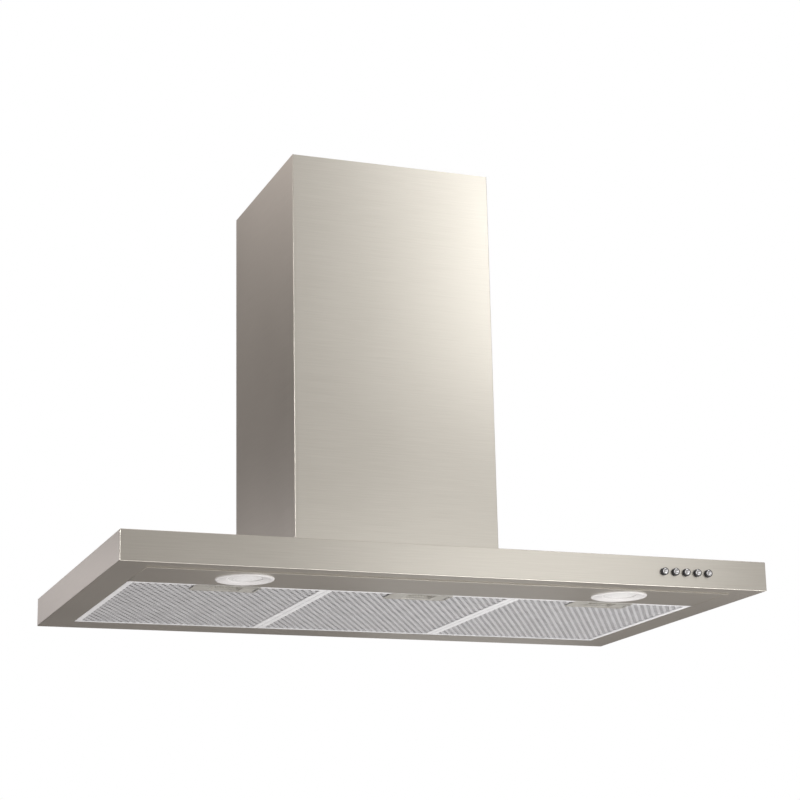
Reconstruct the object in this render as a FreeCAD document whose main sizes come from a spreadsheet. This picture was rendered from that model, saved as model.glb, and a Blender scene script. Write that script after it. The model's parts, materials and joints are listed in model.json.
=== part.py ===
# Wall-mounted chimney range hood: a flat stainless canopy with three grease filters and two lamps,
# a fan in a steel box on top of it, and a two-piece chimney cover round the fan and its duct.
# Origin: the wall plane, at the middle of the width, level with the canopy's underside.
# +X runs to the right, +Y towards the wall and +Z up. Lengths are in millimetres.
import FreeCAD, Part
import math
import os
import re
import Sketcher
from FreeCAD import Placement, Rotation, Vector

doc = FreeCAD.newDocument("range_hood")
sizes = doc.addObject("Spreadsheet::Sheet", "sizes")
places = doc.addObject("Spreadsheet::Sheet", "places")

size_values = {
    # Canopy: one folded stainless shell
    "canopy_width": 900,
    "canopy_depth": 520,
    "canopy_height": 40,
    "canopy_sheet": 1,
    "fold_radius": 1.2,
    "front_return": 32,
    "side_return": 42,
    "rear_return": 50,
    "return_flange": 9,
    "air_hole_from_side": 15,
    "air_hole_from_wall": 25,
    "safety_hole_radius": 4,
    "safety_hole_spacing": 600,
    "safety_hole_level": 24,
    # Lamp panel in front of the filters
    "panel_sheet": 1,
    "panel_depth": 104,
    "panel_seam": 0.8,
    "panel_flange": 8,
    "panel_screw_spacing": 340,
    "panel_screw_level": 5.5,
    "latch_slot_width": 26,
    "latch_slot_height": 3.4,
    # Lamps
    "lamp_spacing": 533.6,
    "lamp_bezel_margin": 8.5,
    "lamp_bezel_depth": 2,
    "lamp_bezel_bevel": 3,
    "lamp_glass_radius": 25,
    "lamp_glass_lip": 2,
    "lamp_glass_thickness": 3,
    "lamp_glass_crown": 1.2,
    "lamp_glass_level": 3.2,
    "lamp_glass_fit": 0.2,
    "lamp_lip": 1,
    "lamp_can_margin": 5,
    "lamp_can_wall": 0.8,
    "lamp_can_room": 6,
    "lamp_hole_fit": 1,
    "lamp_socket_radius": 9,
    "lamp_socket_height": 12,
    "lamp_bulb_radius": 4.6,
    "lamp_bulb_room": 1.2,
    "lamp_tip_radius": 2.6,
    "lamp_tip_length": 1.8,
    # Grease filters
    "filter_gap": 1,
    "filter_front_gap": 1.5,
    "filter_rear_gap": 2,
    "filter_thickness": 9,
    "filter_recess": 0.3,
    "filter_sheet": 0.8,
    "filter_rail": 8,
    "net_thickness": 0.8,
    "net_strand": 2.2,
    "net_margin": 8,
    "net_columns": 14,
    "net_rows": 10,
    "filter_fit": 0.3,
    "core_sheet": 0.7,
    "core_pleats": 24,
    "tab_width": 20,
    "tab_length": 12,
    "tab_thickness": 1,
    "tab_lift": 0.5,
    "tab_spacing": 180,
    # Latch of a filter
    "latch_plate_width": 90,
    "latch_plate_depth": 40,
    "latch_plate_sheet": 0.8,
    "latch_plate_setback": 1.2,
    "latch_cup_width": 42,
    "latch_cup_depth": 30,
    "latch_cup_from_front": 4.5,
    "latch_cup_wall": 0.8,
    "latch_notch_width": 3,
    "latch_notch_depth": 28,
    "latch_notch_offset": 41,
    "tongue_width": 18,
    "tongue_thickness": 1.6,
    "tongue_drop": 3.1,
    "tongue_stop_gap": 0.5,
    "grip_width": 26,
    "grip_thickness": 3,
    "grip_from_front": 20.5,
    "grip_lift": 0.6,
    "leaf_thickness": 0.4,
    "leaf_height": 3,
    "leaf_width": 16,
    # Push buttons
    "button_radius": 5,
    "button_proud": 5,
    "button_pitch": 16.5,
    "button_inset": 90,
    "button_edge": 0.6,
    "button_fit": 0.3,
    "button_flange_lip": 1.6,
    "button_flange_thickness": 1.2,
    "button_stem_radius": 2,
    "button_stem_length": 14,
    "stem_fit": 0.1,
    # Switch block behind the buttons
    "block_setback": 6,
    "block_depth": 16,
    "block_height": 18,
    "block_end": 12,
    "ear_width": 10,
    "stud_radius": 1.5,
    "stud_length": 12,
    "stud_fit": 0.2,
    "nut_radius": 3.2,
    "nut_height": 2.4,
    # Fan box on the canopy
    "fan_box_width": 260,
    "fan_box_depth": 250,
    "fan_box_height": 250,
    "fan_box_sheet": 0.8,
    "fan_box_foot": 12,
    "hanging_hole_radius": 4,
    "hanging_hole_from_side": 30,
    "hanging_hole_from_top": 28,
    # Fan
    "wheel_side_room": 53,
    "wheel_half_length": 44,
    "wheel_ring": 10,
    "wheel_disc": 2,
    "wheel_boss_radius": 12,
    "wheel_boss_length": 16,
    "blade_count": 30,
    "blade_thickness": 1.4,
    "blade_lean_share": 0.55,
    "scroll_wall": 2,
    "scroll_tongue_gap": 12,
    "scroll_growth": 30,
    "scroll_rear_gap": 32,
    "scroll_lift_share": 0.25,
    "scroll_half_width": 54,
    "motor_air_gap": 20,
    "motor_length": 40,
    "motor_gap": 3,
    "motor_boss_share": 0.57,
    "shaft_radius": 4,
    "shaft_fit": 0.05,
    "shaft_length": 54,
    "spider_sheet": 2,
    "spider_arm_width": 14,
    "spider_hub_lip": 2,
    # Duct collar and its non-return flaps
    "collar_place_share": 0.52,
    "collar_radius": 75,
    "collar_wall": 2,
    "collar_height": 62,
    "collar_flange_lip": 15,
    "collar_flange_thickness": 2,
    "collar_screw_offset": 8,
    "ledge_width": 4,
    "ledge_height": 3,
    "flap_level": 18,
    "flap_thickness": 1,
    "flap_fit": 1.2,
    "flap_seat_gap": 0.3,
    "flap_rod_radius": 1.5,
    "flap_rod_fit": 0.05,
    "flap_barrel_radius": 3,
    "flap_barrel_gap": 0.6,
    "flap_barrel_half": 16,
    "flap_outer_barrel": 50,
    # Electrical pieces on the fan box
    "junction_width": 52,
    "junction_depth": 40,
    "junction_height": 30,
    "junction_wall": 2,
    "junction_lid": 2.5,
    "junction_inset": 4,
    "gland_radius": 9,
    "gland_bore": 4,
    "gland_length": 16,
    "gland_nut_height": 6,
    "capacitor_radius": 16,
    "capacitor_height": 62,
    "capacitor_rim": 1.5,
    "capacitor_inset": 8,
    "driver_length": 120,
    "driver_width": 46,
    "driver_height": 20,
    "driver_from_centre": 250,
    "driver_from_wall": 190,
    # Chimney covers
    "chimney_side_room": 22,
    "chimney_front_room": 42,
    "chimney_height": 613,
    "chimney_sheet": 1,
    "chimney_return": 14,
    "slide_gap": 0.6,
    "upper_sheet": 0.8,
    "upper_lift": 34,
    "upper_setdown": 3,
    "clip_length": 60,
    "clip_leg": 20,
    "clip_sheet": 1.5,
    "clip_spacing": 180,
    "bracket_leg": 26,
    "bracket_sheet": 1.5,
    "bracket_height": 24,
    "bracket_setdown": 8,
    "bracket_hole_radius": 3,
    "bracket_hole_inset": 18,
    "bracket_end": 25.6,
    "bracket_joggle_run": 6,
    # Sheet-metal screws
    "screw_radius": 1.9,
    "screw_fit": 0.15,
    "screw_head_radius": 3.6,
    "screw_head_height": 2.2,
    "screw_length": 6,
    "foot_screw_spacing": 130,
    # Length by which a cutting tool runs past a face, and within which two places count as one
    "overrun": 2,
    "same_place": 0.01,
}

place_values = {
    # Outlines of the canopy's underside
    "half_width": "canopy_width / 2",
    "opening_half": "half_width - side_return",
    "seam_front": "-(canopy_depth - front_return)",
    "panel_rear": "seam_front + panel_depth",
    "opening_rear": "-rear_return",
    "canopy_inner_top": "canopy_height - canopy_sheet",
    "air_hole_front": "-(fan_box_depth - air_hole_from_wall)",
    "air_hole_rear": "-air_hole_from_wall",
    "air_hole_half": "fan_box_width / 2 - air_hole_from_side",
    # Filters
    "filter_width": "(2 * opening_half - 4 * filter_gap) / 3",
    "filter_pitch": "filter_width + filter_gap",
    "filter_front": "panel_rear + filter_front_gap",
    "filter_rear": "opening_rear - filter_rear_gap",
    "filter_top": "filter_recess + filter_thickness",
    "filter_floor": "filter_recess + filter_sheet",
    "filter_ceiling": "filter_top - filter_sheet",
    "tab_bottom": "canopy_sheet + tab_lift",
    # Latches
    "cup_front": "filter_front + latch_cup_from_front",
    "cup_rear": "cup_front + latch_cup_depth",
    "plate_front": "filter_front + latch_plate_setback",
    "plate_bottom": "filter_recess - latch_plate_sheet",
    "cup_top": "filter_ceiling - latch_cup_wall",
    "grip_front": "filter_front + grip_from_front",
    "grip_rear": "grip_front + grip_thickness",
    "tongue_level": "filter_ceiling - tongue_drop",
    "tongue_top": "tongue_level + tongue_thickness",
    # Buttons and switch block
    "button_level": "canopy_height / 2",
    "first_button": "half_width - button_inset - 4 * button_pitch",
    "last_button": "half_width - button_inset",
    "face_back": "-(canopy_depth - canopy_sheet)",
    "block_front": "face_back + block_setback",
    "block_rear": "block_front + block_depth",
    "block_left": "first_button - block_end",
    "block_right": "last_button + block_end",
    "left_stud": "block_left - ear_width / 2",
    "right_stud": "block_right + ear_width / 2",
    "ear_depth": "stud_length - nut_height",
    "button_flange_radius": "button_radius + button_flange_lip",
    # Lamps
    "lamp_half": "lamp_spacing / 2",
    "lamp_can_radius": "lamp_glass_radius + lamp_can_margin",
    "lamp_hole_radius": "lamp_can_radius + lamp_hole_fit",
    "lamp_bezel_radius": "lamp_can_radius + lamp_bezel_margin",
    "lamp_rim_radius": "lamp_bezel_radius - lamp_bezel_bevel",
    "lamp_glass_view_radius": "lamp_glass_radius - lamp_glass_lip",
    "lamp_centre": "(seam_front + panel_seam + panel_rear) / 2",
    "lamp_seat": "lamp_glass_level + lamp_glass_thickness",
    "lamp_can_top": "canopy_inner_top - lamp_can_room",
    "lamp_can_ceiling": "lamp_can_top - lamp_can_wall",
    "lamp_socket_base": "lamp_can_ceiling - lamp_socket_height",
    "lamp_bulb_length": "lamp_socket_base - lamp_seat - lamp_bulb_room - lamp_tip_length",
    # Fan box and collar
    "fan_box_top": "canopy_height + fan_box_height",
    "fan_box_half": "fan_box_width / 2",
    "hanging_hole_spacing": "fan_box_width - 2 * hanging_hole_from_side",
    "collar_base": "fan_box_top",
    "collar_from_wall": "fan_box_depth * collar_place_share",
    "collar_flange_radius": "collar_radius + collar_flange_lip",
    "collar_screw_radius": "collar_radius + collar_screw_offset",
    "flange_top": "fan_box_top + collar_flange_thickness",
    "collar_bore": "collar_radius - collar_wall",
    "flap_axis": "fan_box_top + flap_level",
    "flap_radius": "collar_bore - flap_fit",
    "wheel_radius": "fan_box_depth / 2 - wheel_side_room",
    "scroll_start_radius": "wheel_radius + scroll_tongue_gap",
    "scroll_end_radius": "scroll_start_radius + scroll_growth",
    "scroll_low_radius": "scroll_start_radius + scroll_growth * 4 / 6",
    "scroll_spare_height": "fan_box_height - scroll_low_radius - scroll_start_radius",
    "scroll_inlet_radius": "wheel_radius - wheel_ring",
    "wheel_from_wall": "scroll_end_radius + scroll_rear_gap",
    "wheel_level": "scroll_low_radius + scroll_spare_height * scroll_lift_share",
    "wheel_axis": "canopy_height + wheel_level",
    "motor_radius": "wheel_radius - wheel_ring - motor_air_gap",
    "motor_boss_radius": "motor_radius * motor_boss_share",
    "spider_hub_radius": "motor_boss_radius + spider_hub_lip",
    "spider_reach": "wheel_radius",
    "foot_middle": "fan_box_half + fan_box_foot / 2",
    "foot_screw_centre": "-fan_box_depth / 2",
    "clip_screw_line": "cover_inner_front + clip_leg / 2 + clip_sheet / 2",
    # Chimney covers
    "chimney_width": "fan_box_width + 2 * chimney_side_room",
    "chimney_depth": "fan_box_depth + chimney_front_room",
    "cover_half": "chimney_width / 2",
    "cover_inner_half": "cover_half - chimney_sheet",
    "cover_inner_front": "-(chimney_depth - chimney_sheet)",
    "cover_top": "canopy_height + chimney_height",
    "upper_half": "cover_inner_half - slide_gap",
    "upper_front": "cover_inner_front + slide_gap",
    "upper_back": "-(chimney_sheet + slide_gap)",
    "upper_bottom": "canopy_height + upper_lift",
    "upper_top": "cover_top - upper_setdown",
    "bracket_top": "upper_top - bracket_setdown",
    "bracket_bottom": "bracket_top - bracket_height",
    "bracket_middle": "bracket_top - bracket_height / 2",
    "bracket_half": "upper_half - upper_sheet",
    "bracket_joggle_half": "bracket_half - bracket_end - bracket_joggle_run",
    "bracket_hole_spacing": "2 * (bracket_joggle_half - bracket_hole_inset)",
    "bracket_rear": "upper_back - upper_sheet",
    "bracket_screw_line": "upper_half - chimney_return / 2",
    "junction_high": "fan_box_top + junction_height",
}


def linked(text):
    # Puts the sheet's name before each alias that an expression uses.
    def prefixed(match):
        word = match.group(0)
        if word in size_values:
            return "sizes." + word
        if word in place_values:
            return "places." + word
        return word
    return re.sub(r"[a-z][a-z_]*", prefixed, text)


def fill_sheet(sheet, cells):
    for row, (alias, content) in enumerate(cells.items(), start=1):
        sheet.set(f"A{row}", alias)
        sheet.set(f"B{row}", content)
        sheet.setAlias(f"B{row}", alias)
    doc.recompute()


def in_places(text):
    # A formula in the second sheet names the first sheet's cells, and its own by alias alone.
    return "=" + linked(text).replace("places.", "")


fill_sheet(sizes, {alias: str(value) for alias, value in size_values.items()})
fill_sheet(places, {alias: in_places(text) for alias, text in place_values.items()})


def size(alias):
    sheet = sizes if alias in size_values else places
    return float(sheet.get(alias))


# Sub-parts

sub_parts = []


def keep(solid, label):
    solid.Label = label
    sub_parts.append(solid)
    return solid


def feature(label, shape):
    solid = doc.addObject("Part::Feature", label)
    solid.Shape = shape
    return keep(solid, label)


# Primitives and booleans bound to the sheet

axis_turns = {
    "x": Rotation(Vector(0, 1, 0), 90),
    "y": Rotation(Vector(1, 0, 0), -90),
    "z": Rotation(),
}


def box(name, x_span, y_span, z_span):
    solid = doc.addObject("Part::Box", name)
    sides = zip("xyz", ("Length", "Width", "Height"), (x_span, y_span, z_span))
    for axis, side, (low, high) in sides:
        solid.setExpression("Placement.Base." + axis, linked(low))
        solid.setExpression(side, linked(f"({high}) - ({low})"))
    return solid


def rod(name, axis, across, radius, span):
    # A cylinder along one axis; across gives its centre on the other two, in their order.
    solid = doc.addObject("Part::Cylinder", name)
    solid.Placement = Placement(Vector(), axis_turns[axis])
    low, high = span
    solid.setExpression("Radius", linked(radius))
    solid.setExpression("Height", linked(f"({high}) - ({low})"))
    spot = dict(zip("xyz".replace(axis, ""), across))
    spot[axis] = low
    for letter in "xyz":
        solid.setExpression("Placement.Base." + letter, linked(spot[letter]))
    return solid


def fuse(name, solids):
    result = doc.addObject("Part::MultiFuse", name)
    result.Shapes = solids
    return result


def cut(name, base, tools):
    result = doc.addObject("Part::Cut", name)
    result.Base = base
    result.Tool = tools[0] if len(tools) == 1 else fuse(name + "_tools", tools)
    return result


# Sketched bodies bound to the sheet

def body(label):
    owner = doc.addObject("PartDesign::Body", label)
    return keep(owner, label)


def sketch(owner, plane, lift="0"):
    drawing = owner.newObject("Sketcher::SketchObject", owner.Name + "_sketch")
    support = next(f for f in owner.Origin.OriginFeatures if f.Role == plane)
    drawing.AttachmentSupport = [(support, "")]
    drawing.MapMode = "FlatFace"
    drawing.setExpression("AttachmentOffset.Base.z", linked(lift))
    return drawing


def pin_down(drawing, geometry, position, spot):
    # Ties one point of a sketch to its place in the sheet, measured from the sketch's origin.
    for kind, distance in zip(("DistanceX", "DistanceY"), spot):
        index = drawing.addConstraint(Sketcher.Constraint(kind, -1, 1, geometry, position, 1.0))
        drawing.setExpression(f"Constraints[{index}]", linked(distance))


def polygon(drawing, points):
    first = drawing.GeometryCount
    count = len(points)
    turns = [2 * math.pi * index / count for index in range(count)]
    rough = [Vector(math.cos(turn), math.sin(turn), 0) for turn in turns]
    for index in range(count):
        drawing.addGeometry(Part.LineSegment(rough[index], rough[(index + 1) % count]))
    for index in range(count):
        ends = (first + index, 2, first + (index + 1) % count, 1)
        drawing.addConstraint(Sketcher.Constraint("Coincident", *ends))
    for index, spot in enumerate(points):
        pin_down(drawing, first + index, 1, spot)


def rectangle(drawing, x_span, y_span):
    (left, right), (low, high) = x_span, y_span
    polygon(drawing, [(left, low), (right, low), (right, high), (left, high)])


def circle(drawing, centre, radius):
    index = drawing.addGeometry(Part.Circle(Vector(), Vector(0, 0, 1), 1.0))
    pin_down(drawing, index, 3, centre)
    limit = drawing.addConstraint(Sketcher.Constraint("Radius", index, 1.0))
    drawing.setExpression(f"Constraints[{limit}]", linked(radius))


def pad(owner, drawing, length, backwards=False):
    step = owner.newObject("PartDesign::Pad", owner.Name + "_pad")
    step.Profile = drawing
    step.Reversed = backwards
    step.setExpression("Length", linked(length))
    doc.recompute()
    return step


def pocket(owner, drawing, length, backwards=False):
    before = owner.Shape.Volume
    step = owner.newObject("PartDesign::Pocket", owner.Name + "_pocket")
    step.Profile = drawing
    step.Reversed = backwards
    step.setExpression("Length", linked(length))
    doc.recompute()
    if owner.Shape.Volume >= before:
        raise RuntimeError(f"a pocket of {owner.Label} cuts nothing")
    return step


def round_edges(owner, radius, wanted):
    base = owner.Tip
    picked = [f"Edge{n}" for n, edge in enumerate(base.Shape.Edges, start=1) if wanted(edge)]
    step = owner.newObject("PartDesign::Fillet", owner.Name + "_fold")
    step.Base = (base, picked)
    step.setExpression("Radius", linked(radius))
    doc.recompute()
    return step


def turned(label, profile, spot, axis="z"):
    # A turned piece: half a section, as radius and height, spun round the body's own Z axis.
    owner = body(label)
    drawing = sketch(owner, "XZ_Plane")
    polygon(drawing, profile)
    spin = owner.newObject("PartDesign::Revolution", owner.Name + "_turn")
    spin.Profile = drawing
    spin.ReferenceAxis = (drawing, ["V_Axis"])
    spin.Angle = 360
    owner.Placement = Placement(Vector(), axis_turns[axis])
    for letter, place in zip("xyz", spot):
        owner.setExpression("Placement.Base." + letter, linked(place))
    doc.recompute()
    return owner


def parallel_to(edge, direction):
    run = edge.Vertexes[-1].Point - edge.Vertexes[0].Point
    return run.Length > 0 and abs(run.normalize().dot(direction)) > 0.999


# Canopy

def canopy_shell():
    owner = body("canopy_shell")
    across = ("-half_width", "half_width")
    plan = sketch(owner, "XY_Plane")
    rectangle(plan, across, ("-canopy_depth", "0"))
    pad(owner, plan, "canopy_height")
    round_edges(owner, "fold_radius", lambda edge: edge.CenterOfMass.y < 0)
    cavity = sketch(owner, "XY_Plane", "canopy_sheet")
    inner_half = "half_width - canopy_sheet"
    inner_depth = ("-(canopy_depth - canopy_sheet)", "-canopy_sheet")
    rectangle(cavity, ("-(" + inner_half + ")", inner_half), inner_depth)
    pocket(owner, cavity, "canopy_height - 2 * canopy_sheet", backwards=True)
    opening = sketch(owner, "XY_Plane")
    rectangle(opening, ("-opening_half", "opening_half"), ("seam_front", "opening_rear"))
    pocket(owner, opening, "canopy_sheet", backwards=True)
    canopy_flanges(owner)
    air_hole = sketch(owner, "XY_Plane", "canopy_height")
    hole_half = "air_hole_half"
    rectangle(air_hole, ("-" + hole_half, hole_half), ("air_hole_front", "air_hole_rear"))
    pocket(owner, air_hole, "canopy_sheet")
    top_holes = sketch(owner, "XY_Plane", "canopy_height")
    for side in ("-", ""):
        circle(top_holes, (side + "clip_spacing / 2", "clip_screw_line"), "screw_radius + screw_fit")
        for end in ("-", "+"):
            along = f"foot_screw_centre {end} foot_screw_spacing / 2"
            circle(top_holes, (side + "foot_middle", along), "screw_radius + screw_fit")
    pocket(owner, top_holes, "canopy_sheet")
    face = sketch(owner, "XZ_Plane", "canopy_depth")
    for number in range(5):
        centre = (f"first_button + {number} * button_pitch", "button_level")
        circle(face, centre, "button_radius + button_fit")
    pocket(owner, face, "2 * canopy_sheet")
    back = sketch(owner, "XZ_Plane")
    for side in ("-", ""):
        circle(back, (side + "safety_hole_spacing / 2", "safety_hole_level"), "safety_hole_radius")
    pocket(owner, back, "2 * canopy_sheet", backwards=True)
    studs = sketch(owner, "XZ_Plane", "-face_back")
    for stud in ("left_stud", "right_stud"):
        circle(studs, (stud, "button_level"), "stud_radius")
    pad(owner, studs, "stud_length", backwards=True)
    screw_holes = sketch(owner, "XZ_Plane", "-(seam_front - canopy_sheet) + overrun")
    for side in ("-", ""):
        for step in (1, 3):
            spot = (f"{side}{step} * panel_screw_spacing / 2 / 2", "panel_screw_level")
            circle(screw_holes, spot, "screw_radius + screw_fit")
    pocket(owner, screw_holes, "canopy_sheet + 2 * overrun")
    return owner


def canopy_flanges(owner):
    # Upturned edges round the front and sides of the underside opening.
    outer_half = "opening_half + canopy_sheet"
    front = "seam_front - canopy_sheet"
    plan = sketch(owner, "XY_Plane", "canopy_sheet")
    polygon(plan, [
        ("-(" + outer_half + ")", "opening_rear"),
        ("-(" + outer_half + ")", front),
        (outer_half, front),
        (outer_half, "opening_rear"),
        ("opening_half", "opening_rear"),
        ("opening_half", "seam_front"),
        ("-opening_half", "seam_front"),
        ("-opening_half", "opening_rear"),
    ])
    pad(owner, plan, "return_flange - canopy_sheet")


def light_panel():
    owner = body("light_panel")
    half = "opening_half - panel_seam"
    across = ("-(" + half + ")", half)
    front = "seam_front + panel_seam"
    plan = sketch(owner, "XY_Plane")
    rectangle(plan, across, (front, "panel_rear"))
    pad(owner, plan, "panel_flange + panel_sheet")
    tray = sketch(owner, "XY_Plane", "panel_sheet")
    inner = "opening_half - panel_seam - panel_sheet"
    rectangle(tray, ("-(" + inner + ")", inner), (front + " + panel_sheet", "panel_rear - panel_sheet"))
    pocket(owner, tray, "panel_flange", backwards=True)
    holes = sketch(owner, "XY_Plane")
    for side in ("-", ""):
        circle(holes, (side + "lamp_spacing / 2", "(" + front + " + panel_rear) / 2"), "lamp_hole_radius")
    pocket(owner, holes, "panel_sheet", backwards=True)
    slots = sketch(owner, "XZ_Plane", "-panel_rear")
    for column in (-1, 0, 1):
        middle = f"{column} * filter_pitch"
        span = (f"{middle} - latch_slot_width / 2", f"{middle} + latch_slot_width / 2")
        low = "tongue_level - (latch_slot_height - tongue_thickness) / 2"
        rectangle(slots, span, (low, low + " + latch_slot_height"))
    pocket(owner, slots, "panel_sheet + overrun", backwards=True)
    screw_holes = sketch(owner, "XZ_Plane", "-seam_front")
    for side in ("-", ""):
        for step in (1, 3):
            spot = (f"{side}{step} * panel_screw_spacing / 2 / 2", "panel_screw_level")
            circle(screw_holes, spot, "screw_radius + screw_fit")
    pocket(owner, screw_holes, "panel_seam + panel_sheet + overrun")
    return owner



# Lamps

def lamp(side, sign):
    spot = (sign + "lamp_half", "lamp_centre", "0")
    turned("lamp_bezel_" + side, [
        ("lamp_bezel_radius", "0"),
        ("lamp_bezel_radius", "-lamp_bezel_depth / 2"),
        ("lamp_rim_radius", "-lamp_bezel_depth"),
        ("lamp_glass_view_radius", "lamp_lip"),
        ("lamp_glass_view_radius", "lamp_glass_level"),
        ("lamp_glass_radius + lamp_glass_fit", "lamp_glass_level"),
        ("lamp_glass_radius + lamp_glass_fit", "lamp_seat"),
        ("lamp_can_radius", "lamp_seat"),
        ("lamp_can_radius", "0"),
    ], spot)
    turned("lamp_glass_" + side, [
        ("0", "lamp_glass_level - lamp_glass_crown"),
        ("lamp_glass_view_radius - lamp_glass_fit", "lamp_glass_level"),
        ("lamp_glass_radius", "lamp_glass_level"),
        ("lamp_glass_radius", "lamp_seat"),
        ("0", "lamp_seat"),
    ], spot)
    turned("lamp_housing_" + side, [
        ("lamp_can_radius - lamp_can_wall", "lamp_seat"),
        ("lamp_can_radius", "lamp_seat"),
        ("lamp_can_radius", "lamp_can_top"),
        ("0", "lamp_can_top"),
        ("0", "lamp_can_ceiling"),
        ("lamp_can_radius - lamp_can_wall", "lamp_can_ceiling"),
    ], spot)
    turned("lamp_socket_" + side, [
        ("0", "lamp_socket_base"),
        ("lamp_socket_radius", "lamp_socket_base"),
        ("lamp_socket_radius", "lamp_can_ceiling"),
        ("0", "lamp_can_ceiling"),
    ], spot)
    tip = "lamp_socket_base - lamp_bulb_length"
    turned("lamp_bulb_" + side, [
        ("0", tip),
        ("lamp_tip_radius", tip),
        ("lamp_bulb_radius", tip + " + lamp_tip_length"),
        ("lamp_bulb_radius", "lamp_socket_base - lamp_tip_length"),
        ("lamp_tip_radius", "lamp_socket_base"),
        ("0", "lamp_socket_base"),
    ], spot)


# Grease filters, each with its latch

def about(middle, half):
    return (f"{middle} - ({half})", f"{middle} + ({half})")


def filter_frame(side, middle):
    name = "filter_frame_" + side
    outer = box(
        name + "_outer",
        about(middle, "filter_width / 2"),
        ("filter_front", "filter_rear"),
        ("filter_recess", "filter_top"),
    )
    tabs = [
        box(
            name + "_tab",
            about(f"{middle} {sign} tab_spacing / 2", "tab_width / 2"),
            ("filter_rear - filter_sheet", "filter_rear + tab_length"),
            ("tab_bottom", "tab_bottom + tab_thickness"),
        )
        for sign in ("-", "+")
    ]
    opening = box(
        name + "_opening",
        about(middle, "filter_width / 2 - filter_rail"),
        ("filter_front + filter_rail", "filter_rear - filter_rail"),
        ("filter_recess - overrun", "filter_top + overrun"),
    )
    groove = box(
        name + "_groove",
        about(middle, "filter_width / 2 - filter_sheet"),
        ("filter_front + filter_sheet", "filter_rear - filter_sheet"),
        ("filter_floor", "filter_ceiling"),
    )
    tongue_slot = box(
        name + "_tongue_slot",
        about(middle, "tongue_width / 2 + filter_fit"),
        ("filter_front - overrun", "filter_front + filter_sheet + overrun"),
        ("tongue_level - filter_fit", "tongue_top + filter_fit"),
    )
    cup_notch = box(
        name + "_cup_notch",
        about(middle, "latch_cup_width / 2 + filter_fit"),
        ("cup_front - filter_fit", "filter_front + filter_rail + overrun"),
        ("filter_recess - overrun", "filter_floor + overrun"),
    )
    hollow = cut(name + "_channel", outer, [opening, groove, tongue_slot, cup_notch])
    return keep(fuse(name, [hollow] + tabs), name)


def net_outline():
    # Half width and the two ends of the net and of the core inside a frame's groove.
    inset = size("filter_sheet") + size("filter_fit")
    half = size("filter_width") / 2 - inset
    return half, size("filter_front") + inset, size("filter_rear") - inset


def ring_wire(points):
    return Part.makePolygon(points + points[:1])


def filter_net(side, column):
    # One holed face: staggered diamonds, and the hole that the latch's cup goes through.
    half, front, rear = net_outline()
    middle = column * size("filter_pitch")
    level = size("filter_floor")
    corners = [(-half, front), (half, front), (half, rear), (-half, rear)]
    outline = ring_wire([Vector(middle + x, y, level) for x, y in corners])
    cup_half = size("latch_cup_width") / 2 + size("filter_fit")
    cup_front = size("cup_front") - size("filter_fit")
    cup_rear = size("cup_rear") + size("filter_fit")
    cup_corners = [(-cup_half, cup_front), (cup_half, cup_front), (cup_half, cup_rear), (-cup_half, cup_rear)]
    cup_hole = ring_wire([Vector(middle + x, y, level) for x, y in cup_corners])
    margin = size("net_margin")
    columns = int(size("net_columns"))
    rows = int(size("net_rows"))
    pitch_x = 2 * (half - margin) / columns
    pitch_y = (rear - front - 2 * margin) / rows
    reach_x = (pitch_x - size("net_strand")) / 2
    reach_y = reach_x * pitch_y / pitch_x
    holes = []
    for stagger in (0, 1):
        for row in range(rows - stagger):
            for place in range(columns - stagger):
                x = middle - half + margin + (place + (1 + stagger) / 2) * pitch_x
                y = front + margin + (row + (1 + stagger) / 2) * pitch_y
                beside_cup = abs(x - middle) > cup_half + reach_x + size("net_strand") / 2
                behind_cup = y - reach_y > cup_rear + size("net_strand") / 2
                if beside_cup or behind_cup:
                    tips = [(-reach_x, 0), (0, -reach_y), (reach_x, 0), (0, reach_y)]
                    holes.append(ring_wire([Vector(x + dx, y + dy, level) for dx, dy in tips]))
    face = Part.makeFace([outline, cup_hole] + holes, "Part::FaceMakerBullseye")
    return feature("filter_net_" + side, face.extrude(Vector(0, 0, size("net_thickness"))))


def filter_core(side, column):
    # Folded expanded sheet: its pleats run from front to rear and fill the frame's depth.
    half, front, rear = net_outline()
    middle = column * size("filter_pitch")
    floor = size("filter_floor") + size("net_thickness")
    ceiling = size("filter_ceiling")
    sheet = size("core_sheet")
    folds = 2 * int(size("core_pleats"))
    step = 2 * half / folds
    levels = [floor if fold % 2 == 0 else ceiling - sheet for fold in range(folds + 1)]
    under = [Vector(middle - half + fold * step, front, level) for fold, level in enumerate(levels)]
    over = [point + Vector(0, 0, sheet) for point in reversed(under)]
    pleats = Part.Face(ring_wire(under + over)).extrude(Vector(0, rear - front, 0))
    fit = size("filter_fit")
    room_width = size("latch_cup_width") + 2 * fit
    room_depth = size("cup_rear") + fit - front
    corner = Vector(middle - room_width / 2, front, size("filter_recess"))
    cup_room = Part.makeBox(room_width, room_depth, size("filter_thickness"), corner)
    return feature("filter_core_" + side, pleats.cut(cup_room))


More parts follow.
